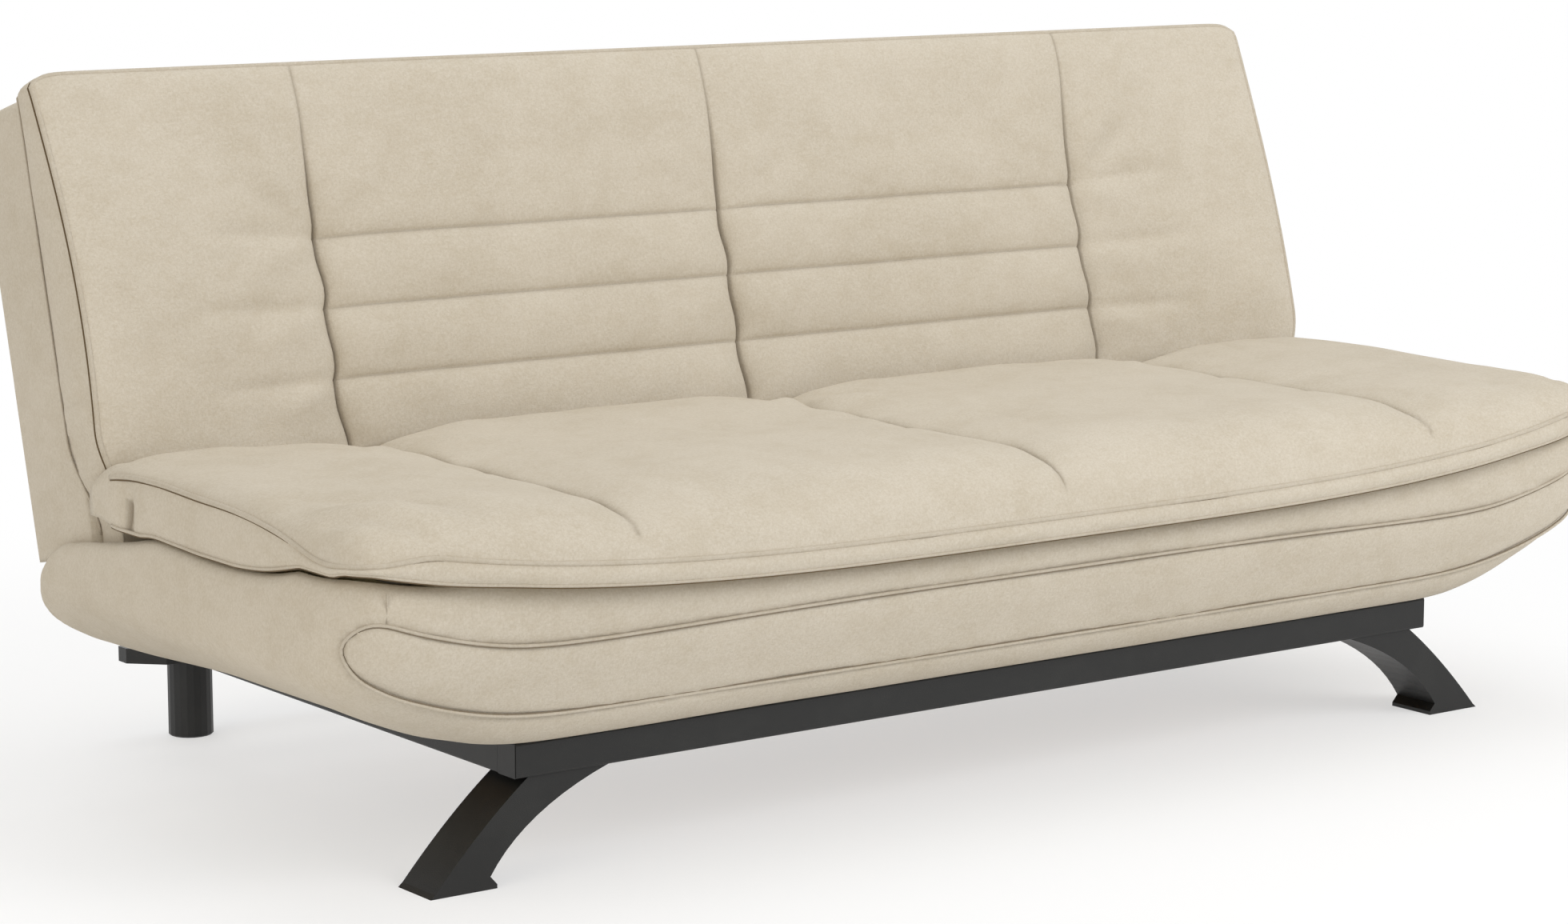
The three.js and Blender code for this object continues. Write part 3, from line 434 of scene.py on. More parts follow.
# Painted shade: CORD_DARK darkens piping cords a little, and the dark cord of painted seam shadow beside them
# is SEAM_THICKNESS times their radius.
CORD_DARK = 0.10
SEAM_THICKNESS = 0.48
BOX_FACES = ((0, 1, 3, 2), (4, 6, 7, 5), (0, 4, 5, 1), (2, 3, 7, 6), (0, 2, 6, 4), (1, 5, 7, 3))


def smooth(value: Any, start: float, end: float) -> Array:
    """A smooth step from 0 at start to 1 at end."""
    share = np.clip((np.asarray(value, float) - start) / (end - start), 0.0, 1.0)
    return share * share * (3.0 - 2.0 * share)


def curve_through(places: Sequence[float] | Array, values: Sequence[float] | Array, at: Any) -> Array:
    """A smooth curve through given values.

    Args:
        places: Rising places.
        values: The value at each.
        at: Where the curve is read.

    Returns:
        The values there.
    """
    p, v, at = np.asarray(places, float), np.asarray(values, float), np.asarray(at, float)
    slope = np.gradient(v, p)
    k = np.clip(np.searchsorted(p, at) - 1, 0, len(p) - 2)
    step = p[k + 1] - p[k]
    t = np.clip((at - p[k]) / step, 0.0, 1.0)
    low = (2 * t**3 - 3 * t**2 + 1) * v[k] + (t**3 - 2 * t**2 + t) * step * slope[k]
    return low + (3 * t**2 - 2 * t**3) * v[k + 1] + (t**3 - t**2) * step * slope[k + 1]


def valley(distance: Any, width: float) -> Array:
    """1 on a seam, falling to 0 beside it, with a sharp foot."""
    return np.exp(-np.abs(np.asarray(distance, float)) / width * 2.2)


def hollow(distance: Any, width: float) -> Array:
    """1 on a line, falling softly to 0 beside it."""
    return np.exp(-((np.asarray(distance, float) / width) ** 2) * 2.5)


def rounded(share: Array, power: float) -> Array:
    """The height of a rounded shoulder, from 0 at its edge to 1 where it is full."""
    return np.sqrt(np.maximum(1 - (1 - share) ** power, 0.0))


def stations(low: float, high: float, pitch: float, seams: Iterable[float]) -> Array:
    """Places along a side, close together beside each seam.

    Args:
        low: The first place.
        high: The last place.
        pitch: The usual step.
        seams: Where the seams run.

    Returns:
        The places in order.
    """
    count = max(int(round((high - low) / pitch)), 2)
    places = list(np.linspace(low, high, count + 1))
    offsets = (0.0, 0.0022, 0.0045, 0.0075, 0.012, 0.018)
    for seam in seams:
        near = [seam + sign * offset for offset in offsets for sign in (-1, 1)]
        places = [p for p in places if abs(p - seam) > offsets[-1] + pitch * 0.4 or p in (low, high)]
        places += [p for p in near if low < p < high]
    return np.array(sorted(set(np.round(places, 6))))


@dataclass
class Stroke:
    """One soft fold in a padded face, along a line in the face's own two directions."""

    start: tuple[float, float]
    end: tuple[float, float]
    height: float
    width: float

    def relief(self, a: Array, b: Array) -> Array:
        """How far the fold lifts the face.

        Args:
            a: Places along the face's first direction.
            b: Places along its second direction.

        Returns:
            The lift, negative in a crease.
        """
        p, q = np.array(self.start), np.array(self.end)
        run = q - p
        t = ((a - p[0]) * run[0] + (b - p[1]) * run[1]) / (run @ run)
        near = np.clip(t, 0.0, 1.0)
        gap = np.hypot(a - p[0] - near * run[0], b - p[1] - near * run[1])
        fade = np.sin(np.pi * np.clip(t * 0.86 + 0.07, 0.0, 1.0)) ** 0.7
        return self.height * fade * np.exp(-((gap / self.width) ** 2))


def folds(strokes: Iterable[Stroke], a: Array, b: Array) -> Array:
    """The relief of several strokes together."""
    return sum((stroke.relief(a, b) for stroke in strokes), np.zeros_like(a))


def ripple(a: Array, b: Array, seed: int, size: float) -> Array:
    """Slow unevenness of stuffed cloth.

    Args:
        a: Places along the face's first direction.
        b: Places along its second direction.
        seed: Which pattern.
        size: The length of its waves in metres.

    Returns:
        Values around 0, mostly within 1.
    """
    chance = np.random.default_rng(seed)
    total = np.zeros_like(a)
    for _ in range(14):
        angle, phase = chance.uniform(0, 2 * math.pi, 2)
        length = size * chance.uniform(0.6, 1.9)
        total += np.sin((a * math.cos(angle) + b * math.sin(angle)) * 2 * math.pi / length + phase)
    return total / 4.2


def grid_faces(rows: int, columns: int, start: int, around: bool = False) -> list[Face]:
    """Faces of a grid of points.

    Args:
        rows: Rows of points.
        columns: Points in a row.
        start: The first point's number.
        around: Whether each row closes on itself.

    Returns:
        The faces.
    """
    found = []
    for r in range(rows - 1):
        for c in range(columns if around else columns - 1):
            n = (c + 1) % columns
            a, b = start + r * columns + c, start + r * columns + n
            found.append((a, b, b + columns, a + columns))
    return found


def closed_skin(rings: int, around: int) -> list[Face]:
    """Faces of a stack of closed rings, with a face over each end."""
    ends = [tuple(range(around)), tuple(range(rings * around - 1, (rings - 1) * around - 1, -1))]
    return grid_faces(rings, around, 0, True) + ends


def make_object(name: str, points: Array, faces: list[Face], weld: float = 0.0) -> bpy.types.Object:
    """A smooth mesh object with its faces pointing out.

    Args:
        name: The object's name.
        points: The points.
        faces: The faces.
        weld: Points nearer than this become one.

    Returns:
        The object.
    """
    mesh = bpy.data.meshes.new(name)
    mesh.from_pydata(points.reshape(-1, 3).tolist(), [], faces)
    made = bmesh.new()
    made.from_mesh(mesh)
    if weld:
        bmesh.ops.remove_doubles(made, verts=made.verts, dist=weld)
    bmesh.ops.recalc_face_normals(made, faces=made.faces)
    made.to_mesh(mesh)
    made.free()
    for polygon in mesh.polygons:
        polygon.use_smooth = True
    shaped = bpy.data.objects.new(name, mesh)
    bpy.context.scene.collection.objects.link(shaped)
    return shaped


def paint_crease(shaped: bpy.types.Object, depth: Callable[[Array], Array]) -> None:
    """Stores the painted seam shade of each point: how far the cloth's material darkens it.

    Args:
        shaped: The cloth piece.
        depth: Gives the share of painted shade, from 0 to 1, for each point.
    """
    points = np.empty(len(shaped.data.vertices) * 3)
    shaped.data.vertices.foreach_get("co", points)
    values = np.clip(depth(points.reshape(-1, 3)), 0.0, 1.0)
    store_crease(shaped, values)


def store_crease(shaped: bpy.types.Object, values: Array) -> None:
    """Stores the share of painted seam shade that the cloth's material reads at each point."""
    attribute = shaped.data.attributes.new("crease", "FLOAT", "POINT")
    attribute.data.foreach_set("value", values.astype(np.float32))


def tube(path: Array, radius: float, closed: bool, sides: int = 8) -> tuple[Array, list[Face]]:
    """A round cord along a path.

    Args:
        path: The points of its middle.
        radius: The cord's radius.
        closed: Whether it runs round.
        sides: Points round the cord.

    Returns:
        Its points and faces.
    """
    count = len(path)
    ahead = np.roll(path, -1, 0) - np.roll(path, 1, 0)
    if not closed:
        ahead[0], ahead[-1] = path[1] - path[0], path[-1] - path[-2]
    ahead /= np.linalg.norm(ahead, axis=1)[:, None] + 1e-12
    up = np.zeros_like(path)
    reference = np.cross(ahead[0], (0.3, 0.5, 0.8))
    for k in range(count):
        reference = reference - ahead[k] * (reference @ ahead[k])
        reference /= np.linalg.norm(reference)
        up[k] = reference
    side = np.cross(ahead, up)
    angles = np.linspace(0, 2 * math.pi, sides, endpoint=False)
    rings = path[:, None] + radius * (
        up[:, None] * np.cos(angles)[None, :, None] + side[:, None] * np.sin(angles)[None, :, None])
    points = rings.reshape(-1, 3)
    if not closed:
        return points, closed_skin(count, sides)
    last = (count - 1) * sides
    join = [(last + s, last + (s + 1) % sides, (s + 1) % sides, s) for s in range(sides)]
    return points, grid_faces(count, sides, 0, True) + join


def corded_seam(name: str, path: Array, radius: float, beside: Array, closed: bool = False,
                dark: float = 0.95) -> bpy.types.Object:
    """Piping with a thin dark cord beside it, which paints the shadow of its seam.

    Args:
        name: The object's name.
        path: The middle of the cord.
        radius: The cord's radius.
        beside: From the cord's middle to the seam, for each point or for all.
        closed: Whether it runs round.
        dark: How dark the seam's painted shadow is, from 0 to 1.

    Returns:
        The object.
    """
    cord, cord_faces = tube(path, radius, closed)
    # Painted shadow: a thin cord beside the piping carries the dark seam colour.
    line, line_faces = tube(path + beside, radius * SEAM_THICKNESS, closed, 6)
    faces = cord_faces + [tuple(k + len(cord) for k in face) for face in line_faces]
    seam = make_object(name, np.concatenate([cord, line]), faces)
    store_crease(seam, np.concatenate([np.full(len(cord), CORD_DARK), np.full(len(line), dark)]))
    return seam


def evenly(path: Array, pitch: float, closed: bool = False) -> Array:
    """A smooth path through points, in even steps.

    Args:
        path: The points.
        pitch: The step.
        closed: Whether it runs round.

    Returns:
        The even points.
    """
    points = np.vstack([path, path[:1]]) if closed else path
    run = np.concatenate([[0.0], np.cumsum(np.linalg.norm(np.diff(points, axis=0), axis=1))])
    keep = np.concatenate([[True], np.diff(run) > 1e-9])
    run, points = run[keep], points[keep]
    count = max(int(run[-1] / pitch), 4)
    at = np.linspace(0, run[-1], count + 1)
    even = np.stack([curve_through(run, points[:, axis], at) for axis in range(points.shape[1])], 1)
    return even[:-1] if closed else even


def box_corners(low: Point | Array, high: Point | Array) -> Array:
    """The eight corners of a box, in the order that BOX_FACES takes them."""
    return np.array([[x, y, z] for x in (low[0], high[0])
                     for y in (low[1], high[1]) for z in (low[2], high[2])])


def standing(loop: Array, y: float) -> Array:
    """A loop of (x, z) points, placed at a depth."""
    return np.stack([loop[:, 0], np.full(len(loop), y), loop[:, 1]], 1)


def edge_loop(grid: Array) -> Array:
    """The points round a grid's edge, in order."""
    return np.concatenate([grid[0, :-1], grid[:-1, -1], grid[-1, :0:-1], grid[:0:-1, 0]])


def boxed_pad(name: str, face: Array, under: Array, bulge: Callable[[Array], Array],
              rows: int = 8) -> bpy.types.Object:
    """A closed pad: a face, a boxing strip round its edge and an underside.

    Args:
        name: The object's name.
        face: The grid of the face.
        under: The grid of the underside, with as many points.
        bulge: How far the boxing stands out at each point of the edge.
        rows: Rows of faces in the boxing.

    Returns:
        The object.
    """
    top, bottom = edge_loop(face), edge_loop(under)
    middle = face.reshape(-1, 3).mean(0)
    ahead = np.roll(top, -1, 0) - np.roll(top, 1, 0)
    across = bottom - top
    out = np.cross(ahead, across)
    out /= np.linalg.norm(out, axis=1)[:, None] + 1e-12
    flip = np.sign(((top - middle) * out).sum(1).mean())
    strip = [top + across * t + out * flip * (bulge(top) * math.sin(math.pi * t) ** 0.8)[:, None]
             for t in np.linspace(0.0, 1.0, rows + 1)]
    points = np.concatenate([face.reshape(-1, 3), np.array(strip).reshape(-1, 3), under.reshape(-1, 3)])
    count = face.shape[0] * face.shape[1]
    faces = grid_faces(face.shape[0], face.shape[1], 0)
    faces += grid_faces(rows + 1, len(top), count, True)
    faces += grid_faces(under.shape[0], under.shape[1], count + (rows + 1) * len(top))
    return make_object(name, points, faces, 2e-6)


# ---------------------------------------------------------------- the sofa

TILT = math.radians(15.0)
RECLINE = (0.0, 0.188, 0.343)
LONG_SEAMS = (-0.626, 0.0, 0.626)
SIDES = (("left", -1), ("right", 1))
HINGE_OUT = 0.7096
HINGE_GAP = 0.0148


def to_back(points: Array) -> Array:
    """Turns places from the back's own upright frame into the sofa's.

    Args:
        points: Places as (x, y, z) from the back's hinge line.

    Returns:
        The same places on the tilted back.
    """
    x, y, z = points[..., 0], points[..., 1], points[..., 2]
    turned_y = RECLINE[1] + y * math.cos(TILT) + z * math.sin(TILT)
    turned_z = RECLINE[2] - y * math.sin(TILT) + z * math.cos(TILT)
    return np.stack([x, turned_y, turned_z], -1)


def from_back(points: Array) -> Array:
    """Turns places from the sofa's frame into the back's own upright frame.

    Args:
        points: Places on the tilted back.

    Returns:
        The same places as (x, y, z) from the back's hinge line.
    """
    x, y, z = points[..., 0], points[..., 1] - RECLINE[1], points[..., 2] - RECLINE[2]
    upright_y = y * math.cos(TILT) - z * math.sin(TILT)
    upright_z = y * math.sin(TILT) + z * math.cos(TILT)
    return np.stack([x, upright_y, upright_z], -1)


def from_seams(x: Array) -> Array:
    """How far each place lies from the nearest long seam."""
    return np.min([np.abs(x - seam) for seam in LONG_SEAMS], axis=0)


def dress(shaped: bpy.types.Object, body: str, material: bpy.types.Material) -> bpy.types.Object:
    """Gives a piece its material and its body.

    Args:
        shaped: The piece.
        body: The CAD body that it moves with.
        material: The material.

    Returns:
        The piece.
    """
    shaped.data.materials.clear()
    shaped.data.materials.append(material)
    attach(shaped, body)
    LOG.info("%s rides on %s: %d faces", shaped.name, body, len(shaped.data.polygons))
    return shaped


def carve_hinge_slots(shaped: bpy.types.Object, depths: tuple[float, float], heights: tuple[float, float],
                      turn: Callable[[Array], Array] = np.asarray) -> None:
    """Cuts a slot for each hinge arm out of a closed piece.

    Args:
        shaped: The piece.
        depths: Where the slots start and end from front to rear.
        heights: Where they start and end from below.
        turn: Turns the slots' corners into the sofa's frame.
    """
    for _, sign in SIDES:
        low = (sign * HINGE_OUT - HINGE_GAP, depths[0], heights[0])
        high = (sign * HINGE_OUT + HINGE_GAP, depths[1], heights[1])
        tool = make_object("notch", turn(box_corners(low, high)), list(BOX_FACES))
        step = shaped.modifiers.new("notch", "BOOLEAN")
        step.operation, step.solver, step.object = "DIFFERENCE", "EXACT", tool
        depsgraph = bpy.context.evaluated_depsgraph_get()
        cut = bpy.data.meshes.new_from_object(shaped.evaluated_get(depsgraph))
        shaped.modifiers.clear()
        shaped.data = cut
        bpy.data.objects.remove(tool)


@dataclass
class Tub:
    """The padded boat-shaped tub with its piped band."""

    rear: float = 0.298
    floor_half: float = 0.770
    floor_front: float = 0.400
    base: float = 0.1673
    end_outs: tuple[float, ...] = (0.849, 0.888, 0.921, 0.948, 0.966, 0.980, 0.987, 0.989)
    end_heights: tuple[float, ...] = (0.179, 0.188, 0.203, 0.220, 0.240, 0.261, 0.280, 0.300)
    front_outs: tuple[float, ...] = (0.428, 0.440, 0.452, 0.463, 0.474, 0.484, 0.489, 0.493)
    front_heights: tuple[float, ...] = (0.171, 0.182, 0.200, 0.222, 0.245, 0.268, 0.284, 0.300)
    corner: tuple[float, float] = (0.842, -0.358)
    hull_draws: tuple[float, ...] = (0.040, 0.042, 0.036, 0.026, 0.013, 0.003, 0.0, 0.0)
    corner_power: float = 0.62
    corner_reach: float = 0.147
    end_lean: float = -0.004
    front_lean: float = 0.005
    rim_low: float = 0.341
    rim_high: float = 0.399
    rim_reach: float = 0.960
    rim_ys: tuple[float, ...] = (
        -0.38, -0.305, -0.198, -0.086, -0.022, 0.040, 0.110, 0.180, 0.226, 0.262, 0.286, 0.298)
    rim_zs: tuple[float, ...] = (
        0.392, 0.377, 0.369, 0.372, 0.373, 0.362, 0.351, 0.341, 0.331, 0.310, 0.281, 0.246)
    wall: float = 0.020
    rim_round: float = 0.013
    cap_round: float = 0.012
    points: int = 84
    pitch: float = 0.011
    outside_share: float = 0.46
    piping: float = 0.0020
    piping_pitch: float = 0.008
    join_out: float = 0.937
    join_zs: tuple[float, float] = (0.345, 0.378)
    join_radius: float = 0.0007
    join_seam: float = 0.0010
    sunk: float = 0.0036
    # Share of painted shade along the sunk band seam.
    band_dark: float = 0.30
    band: tuple[tuple[float, float], ...] = (
        (0.0, 0.2050), (0.20, 0.2050), (0.40, 0.2055), (0.55, 0.2057), (0.640, 0.2060), (0.700, 0.2075),
        (0.749, 0.2112), (0.783, 0.2161), (0.816, 0.2230), (0.849, 0.2316), (0.881, 0.2418), (0.902, 0.2491),
        (0.922, 0.2572), (0.936, 0.2642), (0.950, 0.2726), (0.961, 0.2813), (0.968, 0.2912), (0.973, 0.3027),
        (0.975, 0.3140), (0.972, 0.3270), (0.965, 0.3364), (0.955, 0.3425), (0.940, 0.3428), (0.921, 0.3370),
        (0.903, 0.3310), (0.874, 0.3225), (0.844, 0.3145), (0.810, 0.3070), (0.776, 0.3015), (0.728, 0.2975),
        (0.660, 0.2960), (0.580, 0.2965), (0.450, 0.2985), (0.300, 0.3000), (0.0, 0.3000))

    def front_rim(self, x: Any) -> Array:
        """Height of the rim along the front."""
        share = np.minimum(np.abs(x) / self.rim_reach, 1.0)
        return self.rim_low + (self.rim_high - self.rim_low) * share ** 3.5

    def end_rim(self, y: Any) -> Array:
        """Height of the rim along the ends."""
        return curve_through(self.rim_ys, self.rim_zs, y)

    def section(self, floor_out: float, outs: Sequence[float], heights: Sequence[float], lean: float,
                rim: float) -> Array:
        """One cross section, up the outside, over the rim and down the inside.

        Args:
            floor_out: Where it starts at the floor.
            outs: Its reach at each height.
            heights: Those heights.
            lean: How far the rim stands out from the top of the wall.
            rim: The rim's height.

        Returns:
            The points as (out, z).
        """
        top = min(heights[-1], rim - 3.2 * self.rim_round)
        levels = self.base + (np.array(heights) - self.base) * (top - self.base) / (heights[-1] - self.base)
        widths = np.interp(levels, (self.base, *heights), (floor_out, *outs))
        outside = np.array([[floor_out, self.base], *zip(widths, levels)])
        r = self.rim_round
        edge = float(np.interp(rim - r, (self.base, *heights), (floor_out, *outs))) + lean
        crest = np.array([(edge, rim - 1.3 * r), (edge - 0.25 * r, rim - 0.45 * r), (edge - 0.9 * r, rim),
                          (edge - 1.55 * r, rim - 0.45 * r), (edge - self.wall, rim - 1.5 * r)])
        ahead = np.gradient(outside, axis=0)
        ahead /= np.linalg.norm(ahead, axis=1)[:, None]
        inside = outside + self.wall * np.stack([-ahead[:, 1], ahead[:, 0]], 1)
        inside[0] = (floor_out, self.base + 0.008)
        path = np.concatenate([outside, crest, inside[::-1]])
        run = np.concatenate([[0.0], np.cumsum(np.linalg.norm(np.diff(path, axis=0), axis=1))])
        at = np.linspace(0, run[-1], self.points)
        return np.stack([curve_through(run, path[:, axis], at) for axis in (0, 1)], 1)

    def drawn_outs(self, share: float) -> tuple[float, ...]:
        """The ends' reach at each height, with a share of the hull's drawing-in."""
        return tuple(out - draw * share for out, draw in zip(self.end_outs, self.hull_draws))

    def end_section(self, y: float) -> Array:
        """The cross section of an end, whose lower levels are drawn in towards the front like a hull."""
        outs = self.drawn_outs(float(1 - smooth(y, -0.10, 0.30)))
        return self.section(self.floor_half, outs, self.end_heights, self.end_lean, float(self.end_rim(y)))

    def front_section(self, x: float) -> Array:
        """The cross section of the front."""
        rim = float(self.front_rim(x))
        return self.section(self.floor_front, self.front_outs, self.front_heights, self.front_lean, rim)

    def rings(self) -> Array:
        """Follows the tub from one rear end round the front to the other.

        Returns:
            Its cross sections, each a closed ring of points.
        """
        widest = self.end_outs[-1]
        half = []
        last = self.end_section(self.rear)
        middle = last.mean(0)
        for angle in np.linspace(math.pi / 2, 0, 6):
            inset = self.cap_round * (1 - math.cos(angle))
            y = self.rear - self.cap_round * (1 - math.sin(angle))
            gap = np.linalg.norm(last - middle, axis=1)[:, None]
            loop = self.end_section(y)
            loop = loop + (middle - loop) * np.clip(inset / gap, 0.0, 0.6)
            half.append(standing(loop, y))
        start = self.rear - self.cap_round
        for y in np.linspace(start, self.corner[1], int((start - self.corner[1]) / self.pitch))[1:]:
            half.append(standing(self.end_section(y), y))
        end = self.end_section(self.corner[1])
        centre = end[:, 0] - self.corner_reach
        for angle in np.linspace(0, math.pi / 2, 26)[1:]:
            share = math.sin(angle) ** 2
            front = self.front_section(widest + (self.corner[0] - widest) * share)
            reach_x = max(math.cos(angle), 0.0) ** self.corner_power
            reach_y = max(math.sin(angle), 0.0) ** self.corner_power
            half.append(np.stack([
                centre + self.corner_reach * reach_x,
                self.corner[1] - (front[:, 0] + self.corner[1]) * reach_y,
                end[:, 1] + (front[:, 1] - end[:, 1]) * share], 1))
        for x in np.linspace(self.corner[0], 0.0, int(self.corner[0] / self.pitch))[1:]:
            loop = self.front_section(x)
            half.append(np.stack([centre * x / self.corner[0], -loop[:, 0], loop[:, 1]], 1))
        right = np.array(half)
        left = right[:-1][::-1] * np.array([-1.0, 1.0, 1.0])
        return np.concatenate([right, left])

    def on_front(self, x: float, z: float) -> Array:
        """The place on the tub's outside that shows at x and z from the front.

        Args:
            x: Across the sofa.
            z: The height.

        Returns:
            The point.
        """
        outs = (self.floor_half, *self.drawn_outs(1.0))
        centre = float(np.interp(z, (self.base, *self.end_heights), outs)) - self.corner_reach
        front = float(np.interp(z, (self.base, *self.front_heights), (self.floor_front, *self.front_outs)))
        front += self.front_lean * float(smooth(z, 0.30, 0.33))
        across = abs(x)
        if across <= centre:
            return np.array([x, -front, z])
        cosine = min(((across - centre) / self.corner_reach) ** (1 / self.corner_power), 1.0)
        sine = math.sqrt(1 - cosine**2)
        return np.array([x, self.corner[1] - (front + self.corner[1]) * sine**self.corner_power, z])

    def band_path(self) -> Array:
        """Lays the band's piping on the tub's outside.

        Returns:
            Its middle, all the way round.
        """
        right = np.array(self.band)
        left = right[1:-1][::-1] * np.array([-1.0, 1.0])
        even = evenly(np.concatenate([right, left]), self.piping_pitch, True)
        return evenly(np.array([self.on_front(x, z) for x, z in even]), self.piping_pitch, True)

    def build(self, cloth: bpy.types.Material) -> None:
        """Makes the tub's cover, its band and the joins on its ends.

        Args:
            cloth: The upholstery.
        """
        path = self.band_path()
        self.cover(path, cloth)
        ahead = np.roll(path, -1, 0) - np.roll(path, 1, 0)
        beside = np.stack([ahead[:, 2], ahead[:, 1] * 0, -ahead[:, 0]], 1)
        beside /= np.linalg.norm(beside, axis=1)[:, None]
        # The band's piping, with a line of painted seam shadow beside it.
        seam = corded_seam("tub_band_piping", path, self.piping, -1.2 * self.piping * beside, True, 0.75)
        dress(seam, "base", cloth)
        for side, sign in SIDES:
            # Thin joins up each end: a fine cord with a line of painted shadow beside it.
            line = np.array([self.on_front(sign * self.join_out, z) for z in np.linspace(*self.join_zs, 8)])
            outward = np.array([sign * self.join_seam, 0.0, 0.0])
            join_with_shadow = corded_seam(f"tub_join_{side}", line, self.join_radius, outward, dark=0.35)
            dress(join_with_shadow, "base", cloth)

    def cover(self, path: Array, cloth: bpy.types.Material) -> None:
        """Makes the tub's cover, sunk a little along the band.

        Args:
            path: The band's piping.
            cloth: The upholstery.
        """
        rings = self.rings()
        flat = rings.reshape(-1, 3)
        near = np.min([np.linalg.norm(flat[:, None] - piece[None], axis=2).min(1)
                       for piece in np.array_split(path, 12)], axis=0)
        front_share = smooth(-flat[:, 1], 0.30, 0.36)
        uneven = ripple(flat[:, 0] + flat[:, 1], flat[:, 2], 3, 0.23)
        normal = np.stack([np.sign(flat[:, 0]) * smooth(np.abs(flat[:, 0]), 0.80, 0.95), -front_share,
                           np.zeros(len(flat))], 1)
        normal /= np.linalg.norm(normal, axis=1)[:, None] + 1e-9
        outer = np.tile(np.arange(rings.shape[1]) < rings.shape[1] * self.outside_share, rings.shape[0])
        lift = outer * (0.0013 * uneven - self.sunk * hollow(near, 0.009) * front_share)
        cover = make_object("tub_cover", flat + normal * lift[:, None], closed_skin(*rings.shape[:2]))
        # Painted shade in the sunk line along the band, on the front.
        paint_crease(cover, lambda p: self.band_dark * hollow(near, 0.0065) * front_share)
        dress(cover, "base", cloth)
        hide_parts("base_cover")


